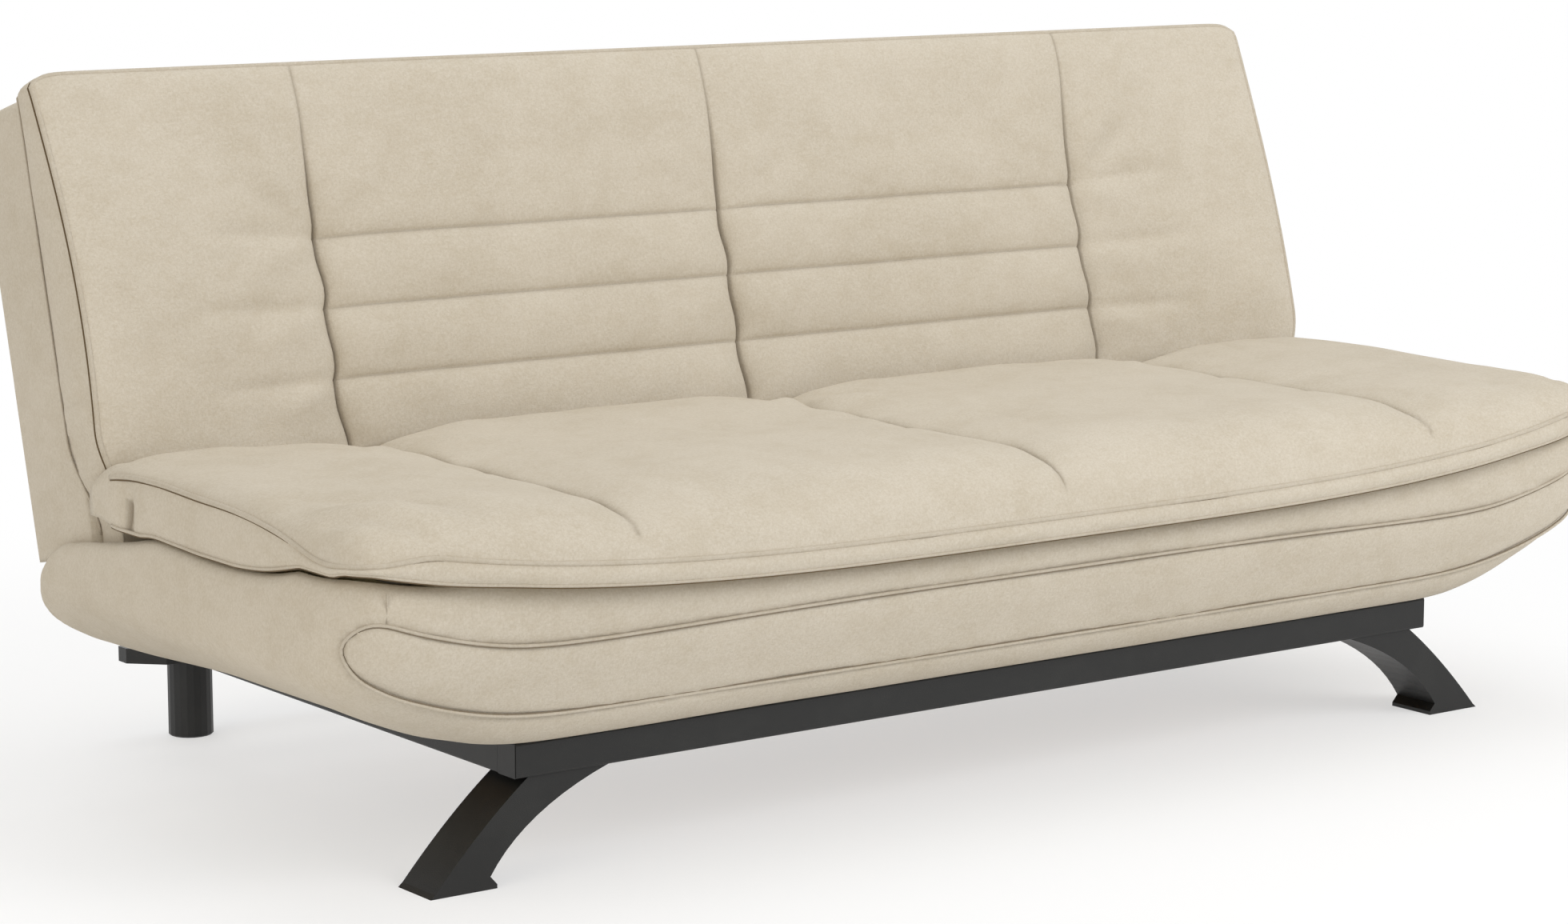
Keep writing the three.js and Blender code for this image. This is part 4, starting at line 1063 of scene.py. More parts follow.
@dataclass
class SeatCushion:
    """The seat cushion: boxed edge, piped rim and three long seams."""

    half: float = 0.984
    front: float = -0.527
    rear: float = 0.108
    pivot: tuple[float, float] = (0.063, 0.385)
    roll: float = 0.045
    crown: float = 0.029
    corner_radius: float = 0.090
    corner_inset: float = 0.024
    corner_setback: float = 0.034
    piping: float = 0.0032
    ear: float = 0.024
    pinch_y: float = 0.030
    floor: float = 0.376
    right_share: float = 0.25
    lifted_depth: float = 0.974
    front_shoulder: float = 0.115
    end_shoulder: float = 0.085
    tuft_width: float = 0.17
    tuft_sink: float = 0.020
    rear_sink: float = 0.014
    seam_cut: float = 0.0040
    # Painted shade: shares of the crease colour in the long seams and in the pinched fold near the rear of
    # each end.
    seam_dark: float = 0.50
    notch_dark: float = 0.7
    lower_piping: float = 0.0022
    slot_ys: tuple[float, float] = (0.036, 0.120)
    slot_zs: tuple[float, float] = (0.356, 0.407)
    end_ys: tuple[float, ...] = (-0.527, -0.417, -0.329, -0.237, -0.142, -0.044, 0.037, 0.108, 0.148)
    end_zs: tuple[float, ...] = (0.398, 0.409, 0.427, 0.437, 0.440, 0.443, 0.440, 0.427, 0.411)
    corner_strokes: tuple[Stroke, ...] = (
        Stroke((0.91, -0.33), (0.80, -0.47), -0.009, 0.011),
        Stroke((0.95, -0.36), (0.86, -0.49), 0.008, 0.015),
        Stroke((0.965, -0.40), (0.89, -0.50), -0.009, 0.009),
        Stroke((0.90, -0.40), (0.83, -0.50), 0.004, 0.009),
        Stroke((0.88, -0.44), (0.80, -0.50), -0.004, 0.007),
        Stroke((0.87, -0.28), (0.76, -0.42), 0.004, 0.020),
        Stroke((0.94, -0.26), (0.88, -0.36), -0.004, 0.012),
    )
    strokes: tuple[Stroke, ...] = (
        Stroke((0.62, 0.07), (0.54, -0.03), 0.005, 0.018),
        Stroke((0.63, 0.02), (0.70, -0.06), 0.005, 0.018),
        Stroke((0.62, -0.12), (0.52, -0.17), -0.004, 0.014),
        Stroke((0.63, -0.20), (0.73, -0.26), -0.004, 0.014),
        Stroke((0.62, -0.30), (0.54, -0.33), -0.003, 0.012),
        Stroke((0.01, 0.03), (0.08, -0.05), 0.005, 0.018),
        Stroke((-0.01, 0.02), (-0.09, -0.05), 0.005, 0.018),
        Stroke((0.01, -0.12), (0.11, -0.18), -0.004, 0.014),
        Stroke((-0.01, -0.22), (-0.11, -0.27), -0.004, 0.014),
    )

    def plan(self, side: Array, y: Array) -> tuple[Array, Array]:
        """The plan of the pad, with its rounded front corners.

        Args:
            side: From -1 at the left end to 1 at the right.
            y: The row's place before the corners are rounded.

        Returns:
            Where each point lies.
        """
        turn = np.clip(1 - (y - self.front) / self.corner_radius, 0.0, 1.0)
        half = self.half - self.corner_inset * turn**2
        ear = self.ear * self.at_end(side) * smooth(y, self.rear - 0.10, self.rear)
        return side * half, y + self.corner_setback * turn * np.abs(side) ** 10 + ear

    def at_end(self, side: Array) -> Array:
        """How far each column lies outside the back cushion's rolled end, from 0 to 1."""
        return smooth(np.abs(side), 0.974, 0.986)

    def edge_height(self, tub: Tub, x: Array, y: Array) -> Array:
        """Works out how high the piped edge lies.

        Args:
            tub: The tub below.
            x: Across the sofa.
            y: From front to rear.

        Returns:
            The height at each place.
        """
        across = np.abs(x)
        front = tub.front_rim(x) + 0.030 - 0.020 * smooth(across, 0.88, 0.975)
        ends = curve_through(self.end_ys, self.end_zs, y)
        share = smooth(y, self.front + 0.015, self.front + 0.16)
        return front + (ends - front) * share

    def face(self, tub: Tub, side: Array, rows: Array) -> Array:
        """Works out the tufted face, domed from its edge and gathered at its seams.

        Args:
            tub: The tub below.
            side: Columns from -1 to 1.
            rows: Rows from front to rear.

        Returns:
            The grid of points.
        """
        s, y0 = np.meshgrid(side, rows)
        x, y = self.plan(s, y0)
        past = np.clip((y0 - self.pivot[0]) / self.roll, 0.0, 1.0)
        drop = self.roll * (1 - np.maximum(1 - past**4, 0.0) ** 0.25)
        from_front = np.clip((y0 - self.front) / self.front_shoulder, 0.0, 1.0)
        from_end = np.clip((1 - np.abs(s)) * self.half / self.end_shoulder, 0.0, 1.0)
        dome = rounded(from_front, 2.2) * rounded(from_end, 2.2)
        nearest = from_seams(x)
        panel = rounded(np.clip(nearest / self.tuft_width, 0.0, 1.0), 2.0)
        near_rear = smooth(y0, -0.10, 0.08)
        seam_run = smooth(y0, self.front - 0.005, self.front + 0.07)
        sink = self.tuft_sink + self.rear_sink * near_rear
        sewn = sink * (1 - panel) + self.seam_cut * valley(nearest, 0.008)
        edge = self.edge_height(tub, x, y)
        crown = (self.crown - sewn * seam_run) * (1 - smooth(y0, self.pivot[0] + 0.010, self.rear + 0.004))
        flat = self.pivot[1] + self.roll + crown
        gathered = folds(self.strokes, -x, y) + folds(self.strokes, x, y)
        gathered += folds(self.corner_strokes, -x, y) + self.right_share * folds(self.corner_strokes, x, y)
        uneven = 0.0022 * ripple(x, y, 5, 0.26) + 0.0010 * ripple(x, y, 8, 0.11)
        z = edge + (flat - edge) * dome + (gathered + uneven) * smooth(dome, 0.15, 0.8)
        z = z - drop * (1 - 0.85 * self.at_end(s))
        return np.stack([x, y, z], -1)

    def under(self, tub: Tub, side: Array, rows: Array) -> Array:
        """The underside, level over the foam and just clear of the tub's rim.

        Args:
            tub: The tub below.
            side: Columns from -1 to 1.
            rows: Rows from front to rear.

        Returns:
            The grid of points.
        """
        s, y0 = np.meshgrid(side, rows)
        x, y = self.plan(s, y0)
        over_end = smooth(np.abs(x), 0.900, 0.940)
        rim = np.maximum(tub.end_rim(y) + 0.006, self.floor + 0.006 * smooth(y, 0.06, 0.11))
        level = self.floor + (rim - self.floor) * over_end
        in_front = 1 - smooth(y0, self.front + 0.044, self.front + 0.074)
        front = tub.front_rim(x) + 0.006 - 0.003 * smooth(np.abs(x), 0.78, 0.90)
        return np.stack([x, y, level + (front - level) * in_front], -1)

    def build(self, tub: Tub, cloth: bpy.types.Material) -> None:
        """Makes the cushion and its piping.

        Args:
            tub: The tub below.
            cloth: The upholstery.
        """
        marks = [seam / self.half for seam in LONG_SEAMS] + [-0.992, -0.984, -0.977, 0.977, 0.984, 0.992]
        side = stations(-1.0, 1.0, 0.0125, marks)
        rows = stations(self.front, self.rear, 0.0115, [self.front + 0.004])
        face, under = self.face(tub, side, rows), self.under(tub, side, rows)
        pad = boxed_pad("seat_cushion", face, under, self.bulge)
        carve_hinge_slots(pad, self.slot_ys, self.slot_zs)
        # Painted shade in the long seams and the pinched fold.
        paint_crease(pad, self.seam_depth)
        dress(pad, "seat", cloth)
        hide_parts("seat_pad")
        self.give_way(pad)
        self.pipe(face, under, cloth)

    def bulge(self, edge: Array) -> Array:
        """Puffs the boxing out between its two lines of piping, pinched near its rear.

        Args:
            edge: Points along the edge of the face.

        Returns:
            How far it stands out there.
        """
        x, y = np.abs(edge[:, 0]), edge[:, 1]
        soft = 0.0055 + 0.0016 * ripple(edge[:, 0], edge[:, 1], 12, 0.12)
        pinch = 0.010 * hollow(y - self.pinch_y, 0.026) * smooth(x, 0.95, 0.98)
        return (soft - pinch) * smooth(self.rear - y, 0.0, 0.04)

    def seam_depth(self, points: Array) -> Array:
        """Works out the painted shade of each point, in the long seams and in the pinched fold of the boxing.

        Args:
            points: The pad's points.

        Returns:
            Shares from 0 to 1.
        """
        across, y, z = np.abs(points[:, 0]), points[:, 1], points[:, 2]
        run = smooth(y, self.front + 0.004, self.front + 0.016) * (z > 0.38)
        notch = (z < 0.412) * smooth(across, 0.95, 0.975) * hollow(y - self.pinch_y, 0.012)
        seam = valley(from_seams(points[:, 0]), 0.0050) * run
        return np.maximum(self.seam_dark * seam, self.notch_dark * notch)

    def give_way(self, sewn: bpy.types.Object) -> None:
        """Gives a piece of the pad its own copy of its mesh."""
        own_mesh(sewn)

    def pipe(self, face: Array, under: Array, cloth: bpy.types.Material) -> None:
        """Sews piping round the front and the ends, along both edges of the boxing.

        Args:
            face: The grid of the face.
            under: The grid of the underside.
            cloth: The upholstery.
        """
        for name, grid, radius, shift in (("upper", face, self.piping, 0.0010),
                                          ("lower", under, self.lower_piping, 0.0)):
            last = int(face.shape[0] * 0.93)
            path = np.concatenate([grid[last:0:-1, 0], grid[0, :-1], grid[:last, -1]])
            path = evenly(path, 0.008)
            path[:, 2] += shift
            below = np.array([0.0, 0.0, -1.15 * radius])
            # Each cord has a line of painted shadow just below it.
            seam = dress(corded_seam(f"seat_piping_{name}", path, radius, below), "seat", cloth)
            self.give_way(seam)


@dataclass
class BackCushion:
    """The back cushion: plain top panels over three sewn channels."""

    half: float = 0.982
    top: float = 0.561
    roll: float = 0.085
    behind: float = 0.0203
    rows: tuple[float, ...] = (0.066, 0.158, 0.248, 0.338)
    edge_depth: float = 0.066
    edge_bulge: float = 0.041
    edge_run: float = 0.150
    crown: float = 0.083
    end_shoulder: float = 0.05
    top_shoulder: float = 0.11
    channel_width: float = 0.045
    channel_sink: float = 0.0095
    seam_sink: float = 0.023
    upper_sink: float = 0.005
    seam_cut: float = 0.0024
    row_cut: float = 0.0008
    # Painted shade: shares of the crease colour in the long seams and in the rows of stitching.
    seam_dark: float = 0.72
    row_dark: float = 0.12
    corner: float = 0.010
    foot_half: float = 0.955
    inner_half: float = 0.630
    jog_reach: float = 0.0026
    piping: float = 0.0034
    rear_piping: float = 0.0022
    strokes: tuple[Stroke, ...] = (
        Stroke((0.60, 0.338), (0.80, 0.350), -0.0050, 0.010),
        Stroke((0.60, 0.248), (0.82, 0.252), -0.0042, 0.011),
        Stroke((0.60, 0.158), (0.80, 0.152), -0.0042, 0.011),
        Stroke((0.63, 0.345), (0.75, 0.430), -0.0056, 0.010),
        Stroke((0.63, 0.345), (0.72, 0.480), 0.0045, 0.014),
        Stroke((0.61, 0.345), (0.52, 0.400), -0.0030, 0.014),
        Stroke((0.02, 0.345), (0.10, 0.400), -0.0035, 0.014),
        Stroke((0.02, 0.345), (0.05, 0.450), -0.0030, 0.014),
        Stroke((0.64, 0.330), (0.74, 0.300), 0.0035, 0.016),
        Stroke((0.64, 0.240), (0.75, 0.205), 0.0035, 0.016),
        Stroke((0.64, 0.150), (0.72, 0.115), 0.0035, 0.016),
        Stroke((0.64, 0.070), (0.78, 0.050), -0.0040, 0.014),
    )

    def from_rows(self, z: Array) -> Array:
        """How far each height lies from the nearest row of stitching."""
        return np.min([np.abs(z - row) for row in self.rows], axis=0)

    def half_at(self, z: Array) -> Array:
        """Half-width of the face, drawn in a little at its middle and narrow where it rolls in below."""
        wide = self.half - 0.008 * np.sin(math.pi * np.clip(z / self.top, 0.0, 1.0))
        return self.foot_half + (wide - self.foot_half) * smooth(z, 0.025, 0.120)

    def jog(self, z: Array) -> Array:
        """Works out how far the long seams step sideways between the rows, where the cloth is gathered.

        Args:
            z: Up the back.

        Returns:
            The step at each height.
        """
        marks = np.array(self.rows)
        below = np.clip(np.searchsorted(marks, z) - 1, 0, len(marks) - 2)
        run = np.clip((z - marks[below]) / (marks[below + 1] - marks[below]), -0.5, 1.0)
        return self.jog_reach * np.sin(2 * math.pi * run) * (z < marks[-1])

    def depth(self, side: Array, z: Array) -> Array:
        """Works out how deep the face stands in front of the hinge line.

        Args:
            side: From -1 to 1 across.
            z: Up the back.

        Returns:
            The depth.
        """
        x = side * self.half
        across = np.abs(x)
        to_end = np.clip((self.half - across) / self.end_shoulder, 0.0, 1.0)
        to_top = np.clip((self.top - z) / self.top_shoulder, 0.0, 1.0)
        dome = rounded(to_end, 2.4) * rounded(to_top, 2.4)
        down = (self.top - z) / (self.top + self.edge_run)
        edge = self.edge_depth + self.edge_bulge * np.sin(math.pi * down)
        nearest = from_seams(x)
        inner = (across < self.inner_half).astype(float)
        above = smooth(z, self.rows[-1], self.top - 0.05)
        width = 0.055 + 0.060 * np.maximum(above, 1 - inner)
        panel = rounded(np.clip(nearest / width, 0.0, 1.0), 2.0)
        level = self.from_rows(z)
        channel = rounded(np.clip(level / self.channel_width, 0.0, 1.0), 2.0)
        sunk = self.seam_sink * (1 - above) + self.upper_sink * above
        full = self.crown + np.maximum(edge + 0.006 - self.crown, 0.0) * smooth(across, 0.68, 0.97)
        sewn = full - sunk * (1 - panel) - self.channel_sink * inner * (1 - channel) * panel
        crease = self.seam_cut * valley(nearest, 0.007) * (1 - 0.6 * above)
        crease = crease + self.row_cut * valley(level, 0.006) * inner
        uneven = 0.0022 * ripple(x, z, 21, 0.25) + 0.0009 * ripple(x, z, 25, 0.10)
        face = edge + (sewn - crease - edge) * dome
        face = face + (folds(self.strokes, across, z) + uneven) * smooth(dome, 0.1, 0.7)
        rolled = np.sqrt(np.maximum(self.roll**2 - np.minimum(z, 0.0) ** 2, 0.0)) - 0.0008
        return rolled + (face - rolled) * smooth(z, 0.012, 0.080)

    def build(self, cloth: bpy.types.Material) -> None:
        """Makes the cushion and its piping.

        Args:
            cloth: The upholstery.
        """
        face, under, heights = self.grids()
        cushion = boxed_pad("back_cushion_cover", face, under, self.bulge)
        # Painted shade in the long seams and the rows of stitching.
        paint_crease(cushion, self.seam_depth)
        dress(cushion, "back", cloth)
        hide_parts("back_cushion")
        start = int(np.searchsorted(heights, 0.0))
        # The cords carry painted seam shadow, dark at the front and lighter at the rear.
        self.pipe("front", face[start:], self.piping, 1.0, 0.95, cloth)
        self.pipe("rear", under[start:], self.rear_piping, -1.0, 0.40, cloth)

    def grids(self) -> tuple[Array, Array, Array]:
        """Lays out the cushion's two faces.

        Returns:
            The points of the front face, those of the rear, and the height of each row.
        """
        marks = [seam / self.half for seam in (*LONG_SEAMS, -0.994 * self.half, 0.994 * self.half)]
        side = stations(-1.0, 1.0, 0.0125, marks)
        heights = stations(self.low(), self.top, 0.012, (*self.rows, self.top - 0.008))
        s, z = np.meshgrid(side, heights)
        round_in = self.corner * np.maximum(1 - (self.top - z) / self.corner, 0.0) ** 2
        loose = 1 - smooth(from_seams(s * self.half), 0.004, 0.060)
        x = s * (self.half_at(z) - round_in) + self.jog(z) * loose
        lower = z - self.corner * 0.7 * np.abs(s) ** 90 * smooth(z, self.top - 0.03, self.top)
        depth = np.maximum(self.depth(s, z), self.behind + 0.001)
        rear_half = self.half - 0.004 + (self.foot_half - self.half) * (1 - smooth(z, 0.0, 0.120)) - round_in
        rear = [s * rear_half, np.full_like(z, -self.behind), lower - 0.004 * smooth(z, 0.5, 0.56)]
        return to_back(np.stack([x, -depth, lower], -1)), to_back(np.stack(rear, -1)), heights

    def low(self) -> float:
        """The lowest level of the rolled edge, where it meets the shell."""
        return -math.sqrt(self.roll**2 - self.behind**2)

    def bulge(self, edge: Array) -> Array:
        """Puffs the boxing out, with wrinkles in its lower part.

        Args:
            edge: Points along the edge of the face.

        Returns:
            How far it stands out there.
        """
        up = from_back(edge)[:, 2]
        wrinkle = 0.0075 * ripple(up * 3, up, 31, 0.10) * (1 - smooth(up, 0.08, 0.26))
        return (0.006 + wrinkle + 0.001 * ripple(edge[:, 0], up, 33, 0.12)) * smooth(up, self.low(), 0.02)

    def seam_depth(self, points: Array) -> Array:
        """Works out the painted shade of each point, in the long seams and the rows of stitching.

        Args:
            points: The cushion's points.

        Returns:
            Shares from 0 to 1.
        """
        local = from_back(points)
        up = local[:, 2]
        front = smooth(-local[:, 1], 0.034, 0.040)
        offset = local[:, 0] - self.jog(up)
        wide = self.half_at(up) / self.half
        nearest = np.min([np.abs(offset - seam * wide) for seam in LONG_SEAMS], axis=0)
        inner = np.abs(offset) < LONG_SEAMS[-1]
        faint = 1 - 0.55 * smooth(up, self.rows[-1], self.top - 0.05)
        long = hollow(nearest, 0.0030) + 0.10 * valley(nearest, 0.010)
        row = valley(self.from_rows(up), 0.0045) * inner
        return front * np.maximum(self.seam_dark * long * faint, self.row_dark * row)

    def pipe(self, name: str, grid: Array, radius: float, towards: float, dark: float,
             cloth: bpy.types.Material) -> None:
        """Sews piping up the ends and along the top of one face.

        Args:
            name: Which face.
            grid: The face's points from where the piping starts.
            radius: The cord's radius.
            towards: 1 where the boxing lies behind the piping, -1 where it lies in front.
            dark: How dark the seam's painted shadow is.
            cloth: The upholstery.
        """
        path = evenly(np.concatenate([grid[:-1, 0], grid[-1, :-1], grid[:0:-1, -1]]), 0.008)
        outward = path - path.mean(0)
        outward[:, 1:] *= 0.5
        outward /= np.linalg.norm(outward, axis=1)[:, None]
        behind = towards * np.array([0.0, math.cos(TILT), -math.sin(TILT)])
        beside = behind * self.piping * 1.15 + outward * 0.0022
        seam = corded_seam(f"back_piping_{name}", path, radius, beside, dark=dark)
        dress(seam, "back", cloth)


@dataclass
class BackShell:
    """The padded shell of the back, with soft lower corners."""

    half: float = 0.963
    front: float = -0.0195
    rear: float = 0.1505
    bottom: float = -0.0182
    top: float = 0.548
    edge: float = 0.016
    corner_top: float = 0.118
    corner_fade: float = 0.090
    draw_share: float = 0.46
    clearance: float = 0.033
    side_points: int = 18
    turn_points: int = 8
    slot_top: float = 0.025
    folded_x: float = 0.775
    folded_share: float = 0.10

    def drawn_half(self, tub: Tub, y: Array) -> Array:
        """Works out the half-width that clears the tub's ends when the back lies flat.

        Args:
            tub: The tub.
            y: Depth behind the hinge line.

        Returns:
            The half-width.
        """
        levels = (tub.base, *tub.end_heights)
        outs = (tub.floor_half, *tub.drawn_outs(self.draw_share))
        outside = np.interp(RECLINE[2] - np.asarray(y) - 0.008, levels, outs)
        return np.minimum(self.half, outside - tub.wall - self.clearance)

    def ring(self, tub: Tub, z: float, drawn: float, inset: float) -> Array:
        """Follows one level of the shell round its outside, from the right front to the left front.

        Args:
            tub: The tub.
            z: The level.
            drawn: How far the corners are drawn in.
            inset: How far the edge is rounded in.

        Returns:
            The points of the level.
        """
        low = self.rear - self.edge
        angles = np.linspace(0, math.pi / 2, self.turn_points)[1:]
        y = np.concatenate([np.linspace(self.front, low, self.side_points), low + self.edge * np.sin(angles)])
        turned = self.half - self.edge * (1 - np.cos(angles))
        plain = np.concatenate([np.full(self.side_points, self.half), turned])
        narrow = np.minimum(self.drawn_half(tub, y), plain)
        soft = 0.0035 * np.sin(math.pi * np.clip((y - self.front) / (low - self.front), 0, 1))
        half = plain + (narrow - plain) * drawn - inset + soft * (1 - drawn)
        right = np.stack([half, np.minimum(y, self.rear - inset)], 1)
        across = np.linspace(1, -1, 110)[1:-1, None] * right[-1:, :1]
        behind = np.concatenate([across, np.full((len(across), 1), right[-1, 1])], 1)
        ring = np.concatenate([right, behind, right[::-1] * [-1, 1]])
        return np.concatenate([ring, np.full((len(ring), 1), z)], 1)

    def build(self, tub: Tub, cloth: bpy.types.Material) -> None:
        """Makes the shell's cover and its soft corners.

        Args:
            tub: The tub.
            cloth: The upholstery.
        """
        fade_end = self.corner_top + self.corner_fade
        levels = [(z, 1.0, 0.0) for z in np.linspace(self.bottom, self.corner_top, 12)]
        levels += [(z, float(1 - smooth(z, self.corner_top, fade_end)), 0.0)
                   for z in np.linspace(self.corner_top, fade_end, 10)[1:]]
        levels += [(z, 0.0, 0.0) for z in np.linspace(fade_end, self.top - self.edge, 26)[1:]]
        levels += [(self.top - self.edge * (1 - math.sin(a)), 0.0, self.edge * (1 - math.cos(a)))
                   for a in np.linspace(0, math.pi / 2, 8)[1:]]
        rings = np.array([self.ring(tub, *level) for level in levels])
        x, y, z = rings[..., 0], rings[..., 1], rings[..., 2]
        behind = smooth(y, self.rear - 0.004, self.rear)
        inner = smooth(z, self.bottom, self.bottom + 0.05) * smooth(self.top - z, 0.0, 0.05)
        rings[..., 1] -= behind * inner * (0.0015 + 0.0020 * ripple(x, z, 41, 0.30))
        cover = make_object("shell_cover", to_back(rings), closed_skin(*rings.shape[:2]))
        depths, heights = (self.front - 0.01, self.rear + 0.01), (self.bottom - 0.01, self.slot_top)
        carve_hinge_slots(cover, depths, heights, to_back)
        paint_crease(cover, lambda p: np.zeros(len(p)))
        dress(cover, "back", cloth)
        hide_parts("back_shell")
        self.soft_corners(tub, cloth)

    def soft_corners(self, tub: Tub, cloth: bpy.types.Material) -> None:
        """Fills the drawn-in lower corners with soft pieces of cloth.

        Args:
            tub: The tub.
            cloth: The upholstery.
        """
        fade_end = self.corner_top + self.corner_fade
        heights = np.linspace(self.bottom + 0.004, fade_end + 0.012, 28)
        right = self.side_points + self.turn_points - 1
        rings = []
        for z in heights:
            drawn = float(1 - smooth(z, self.corner_top, fade_end))
            outer, within = self.ring(tub, z, 0.0, 0.0)[:right], self.ring(tub, z, drawn, 0.0)[:right]
            within[:, 0] -= 0.006
            outer[:, 0] += 0.0002 - 0.0007 * float(smooth(z, fade_end, fade_end + 0.012))
            rear = np.linspace(outer[-1], within[-1], 10)[1:-1]
            rings.append(np.concatenate([outer, rear, within[::-1]]))
        for side, sign in SIDES:
            grid = np.array(rings) * np.array([sign, 1, 1])
            corner = make_object(f"shell_corner_{side}", to_back(grid), closed_skin(*grid.shape[:2]))
            paint_crease(corner, lambda p: np.zeros(len(p)))
            dress(corner, "back", cloth)
            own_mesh(corner)


@dataclass
class SteelBase:
    """The black welded base, the zinc hinges and the wood and foam inside, which keep their CAD shapes."""

    rounded_edges: dict[str, float] = field(default_factory=lambda: {
        "front_rail": 0.004, "rear_rail": 0.004, "cross_rail": 0.003,
        "side_rail_left": 0.004, "side_rail_right": 0.004,
        "front_leg_left": 0.003, "front_leg_right": 0.003,
        "rear_leg_block_left": 0.002, "rear_leg_block_right": 0.002,
        "rear_leg_left": 0.003, "rear_leg_right": 0.003,
    })
    plain_edge: float = 0.0008
    sharpest: float = math.radians(38)
    plate: float = 0.0014
    plate_inset: float = 0.0012

    def build(self, materials: dict[Slot, bpy.types.Material]) -> None:
        """Gives every CAD node that still shows its finish and softened edges.

        Args:
            materials: The material of each finish.
        """
        rows = {row["node"]: Slot(row["material_slot"]) for row in frame["record"]["subparts"]}
        for name, slot in rows.items():
            node = frame["nodes"][name]
            node.data.materials.clear()
            node.data.materials.append(materials[slot])
            LOG.info("%s finished as %s", name, slot.value)
            if slot in (Slot.FOAM, Slot.WEBBING, Slot.FABRIC):
                continue
            step = node.modifiers.new("edges", "BEVEL")
            step.width, step.segments = self.rounded_edges.get(name, self.plain_edge), 3
            step.limit_method, step.angle_limit = "ANGLE", self.sharpest
            step.harden_normals = True
        for rail in ("front_rail", "rear_rail"):
            self.close_ends(rail, materials[Slot.PAINT])

    def close_ends(self, rail: str, paint: bpy.types.Material) -> None:
        """Closes both ends of a hollow rail with thin welded plates.

        Args:
            rail: The rail's node.
            paint: The black paint.
        """
        node = frame["nodes"][rail]
        corners = np.array([tuple(node.matrix_world @ Vector(corner)) for corner in node.bound_box])
        low, high = corners.min(0), corners.max(0)
        for side, end in (("left", low[0]), ("right", high[0])):
            first, last = low + self.plate_inset, high - self.plate_inset
            first[0], last[0] = end - self.plate / 2, end + self.plate / 2
            plate = make_object(f"{rail}_end_{side}", box_corners(first, last), list(BOX_FACES))
            for polygon in plate.data.polygons:
                polygon.use_smooth = False
            dress(plate, "base", paint)


def aimed(name: str, data: bpy.types.ID, place: Point, way: Vector) -> bpy.types.Object:
    """Sets up a camera or lamp.

    Args:
        name: The object's name.
        data: The camera or lamp.
        place: Where it stands.
        way: The direction that it faces.

    Returns:
        The object.
    """
    placed = bpy.data.objects.new(name, data)
    placed.location = place
    placed.rotation_euler = way.to_track_quat("-Z", "Y").to_euler()
    bpy.context.scene.collection.objects.link(placed)
    return placed


@dataclass(frozen=True)
class SoftBox:
    """A rectangular lamp that faces the sofa."""

    name: str
    place: Point
    size: tuple[float, float]
    watts: float
    colour: Colour
    facing: Point = (0.0, 0.0, 0.4)

    def build(self) -> None:
        """Makes the lamp."""
        light = bpy.data.lights.new(self.name, "AREA")
        light.color, light.energy = self.colour, self.watts
        light.shape, light.size, light.size_y = "RECTANGLE", *self.size
        aimed(self.name, light, self.place, Vector(self.facing) - Vector(self.place))


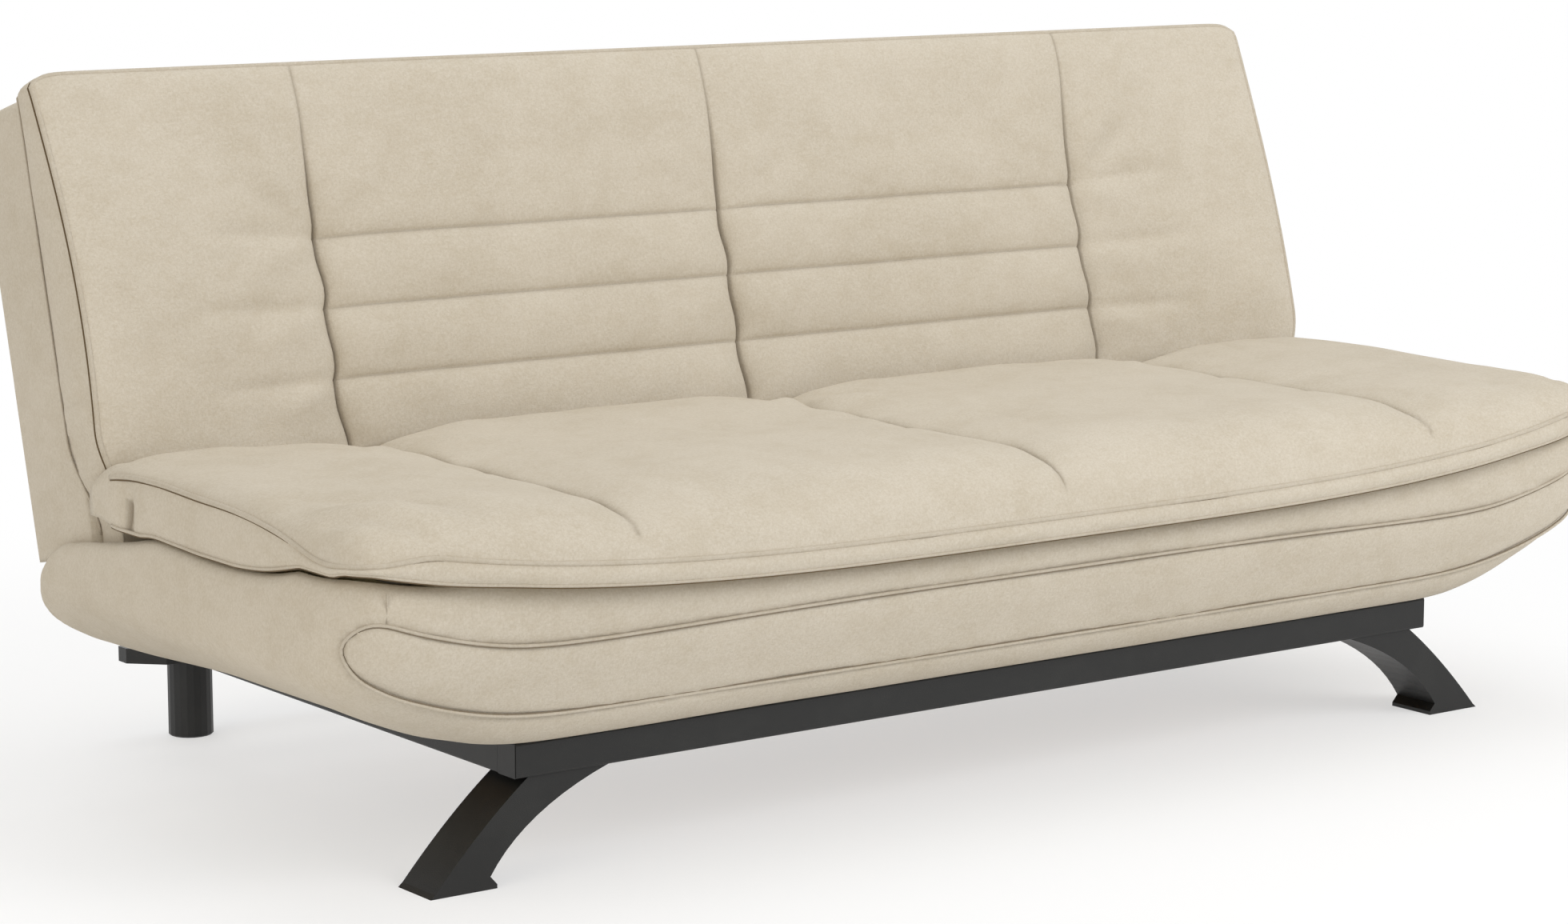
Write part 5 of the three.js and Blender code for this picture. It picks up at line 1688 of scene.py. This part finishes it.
@dataclass
class Studio:
    """A plain pale floor and soft light, seen from the photograph's place."""

    place: Point = (-3.0999, -4.1668, 1.2166)
    azimuth: float = -36.24
    elevation: float = 9.27
    lens: float = 91.43
    floor_half: float = 16.0
    floor_grey: float = 0.93
    surroundings: float = 0.60
    lamps: tuple[SoftBox, ...] = (
        SoftBox("key", (1.9, -4.2, 2.9), (3.0, 2.4), 114.0, (1.0, 0.995, 0.99)),
        SoftBox("fill", (-4.4, -1.4, 1.9), (2.6, 2.2), 40.0, (1.0, 0.91, 0.77)),
        SoftBox("above", (0.2, 0.3, 3.8), (3.2, 3.2), 36.0, (0.95, 0.98, 1.0)),
        SoftBox("behind", (0.5, 3.8, 2.4), (3.0, 2.0), 40.0, (1.0, 1.0, 1.0)),
    )

    def build(self) -> None:
        """Makes the camera, the floor, the lamps and the world."""
        self.camera()
        self.floor()
        for lamp in self.lamps:
            lamp.build()
        self.world()

    def camera(self) -> None:
        """Makes the camera."""
        turn, rise = math.radians(self.azimuth), math.radians(self.elevation)
        back = Vector((math.sin(turn) * math.cos(rise), -math.cos(turn) * math.cos(rise), math.sin(rise)))
        lens = bpy.data.cameras.new("camera")
        lens.lens, lens.sensor_width = self.lens, 36.0
        lens.clip_end = 60.0
        bpy.context.scene.camera = aimed("camera", lens, self.place, -back)

    def floor(self) -> None:
        """Makes a floor that runs to white far off."""
        material = bpy.data.materials.new("studio_floor")
        g = Graph(material)
        paint = g.node("ShaderNodeBsdfDiffuse", {}, {"Color": opaque((self.floor_grey,) * 3)})
        white = g.node("ShaderNodeEmission", {}, {"Color": opaque(WHITE), "Strength": 1.0})
        far = g.node("ShaderNodeVectorMath", {"operation": "LENGTH"}, {0: g.place()}, "Value")
        seen = g.ray("Is Camera Ray") + g.ray("Is Glossy Ray") + g.ray("Is Transmission Ray")
        share = seen * (0.55 + 0.45 * far.between(1.1, 2.6))
        shown = g.node("ShaderNodeMixShader", {}, {0: share, 1: paint, 2: white})
        g.add("ShaderNodeOutputMaterial", {}, {"Surface": shown})
        size = self.floor_half
        points = np.array([(-size, -size, 0.0), (size, -size, 0.0), (size, size, 0.0), (-size, size, 0.0)])
        floor = make_object("floor", points, [(0, 1, 2, 3)])
        floor.data.materials.append(material)

    def world(self) -> None:
        """Makes the pale surroundings: plain light, and white where the camera sees them."""
        world = bpy.data.worlds.new("studio")
        g = Graph(world)
        light = g.node("ShaderNodeBackground", {}, {"Color": opaque(WHITE), "Strength": self.surroundings})
        white = g.node("ShaderNodeBackground", {}, {"Color": opaque(WHITE), "Strength": 1.0})
        shown = g.node("ShaderNodeMixShader", {}, {0: g.ray("Is Camera Ray"), 1: light, 2: white})
        g.add("ShaderNodeOutputWorld", {}, {"Surface": shown})
        bpy.context.scene.world = world


def main() -> None:
    """Builds the sofa bed and its studio."""
    logging.basicConfig(level=logging.INFO, format="%(name)s: %(message)s")
    bpy.context.scene.view_settings.view_transform = "Standard"
    finishes = {Slot.FABRIC: Upholstery(), Slot.FOAM: FoamSlab(), Slot.PLYWOOD: Plywood(),
                Slot.PAINT: BlackPaint(), Slot.ZINC: ZincPlate(), Slot.WEBBING: Webbing()}
    materials = {slot: finish.material() for slot, finish in finishes.items()}
    cloth = materials[Slot.FABRIC]
    Studio().build()
    SteelBase().build(materials)
    tub = Tub()
    tub.build(cloth)
    SeatCushion().build(tub, cloth)
    BackCushion().build(cloth)
    BackShell().build(tub, cloth)


if __name__ == "__main__":
    main()
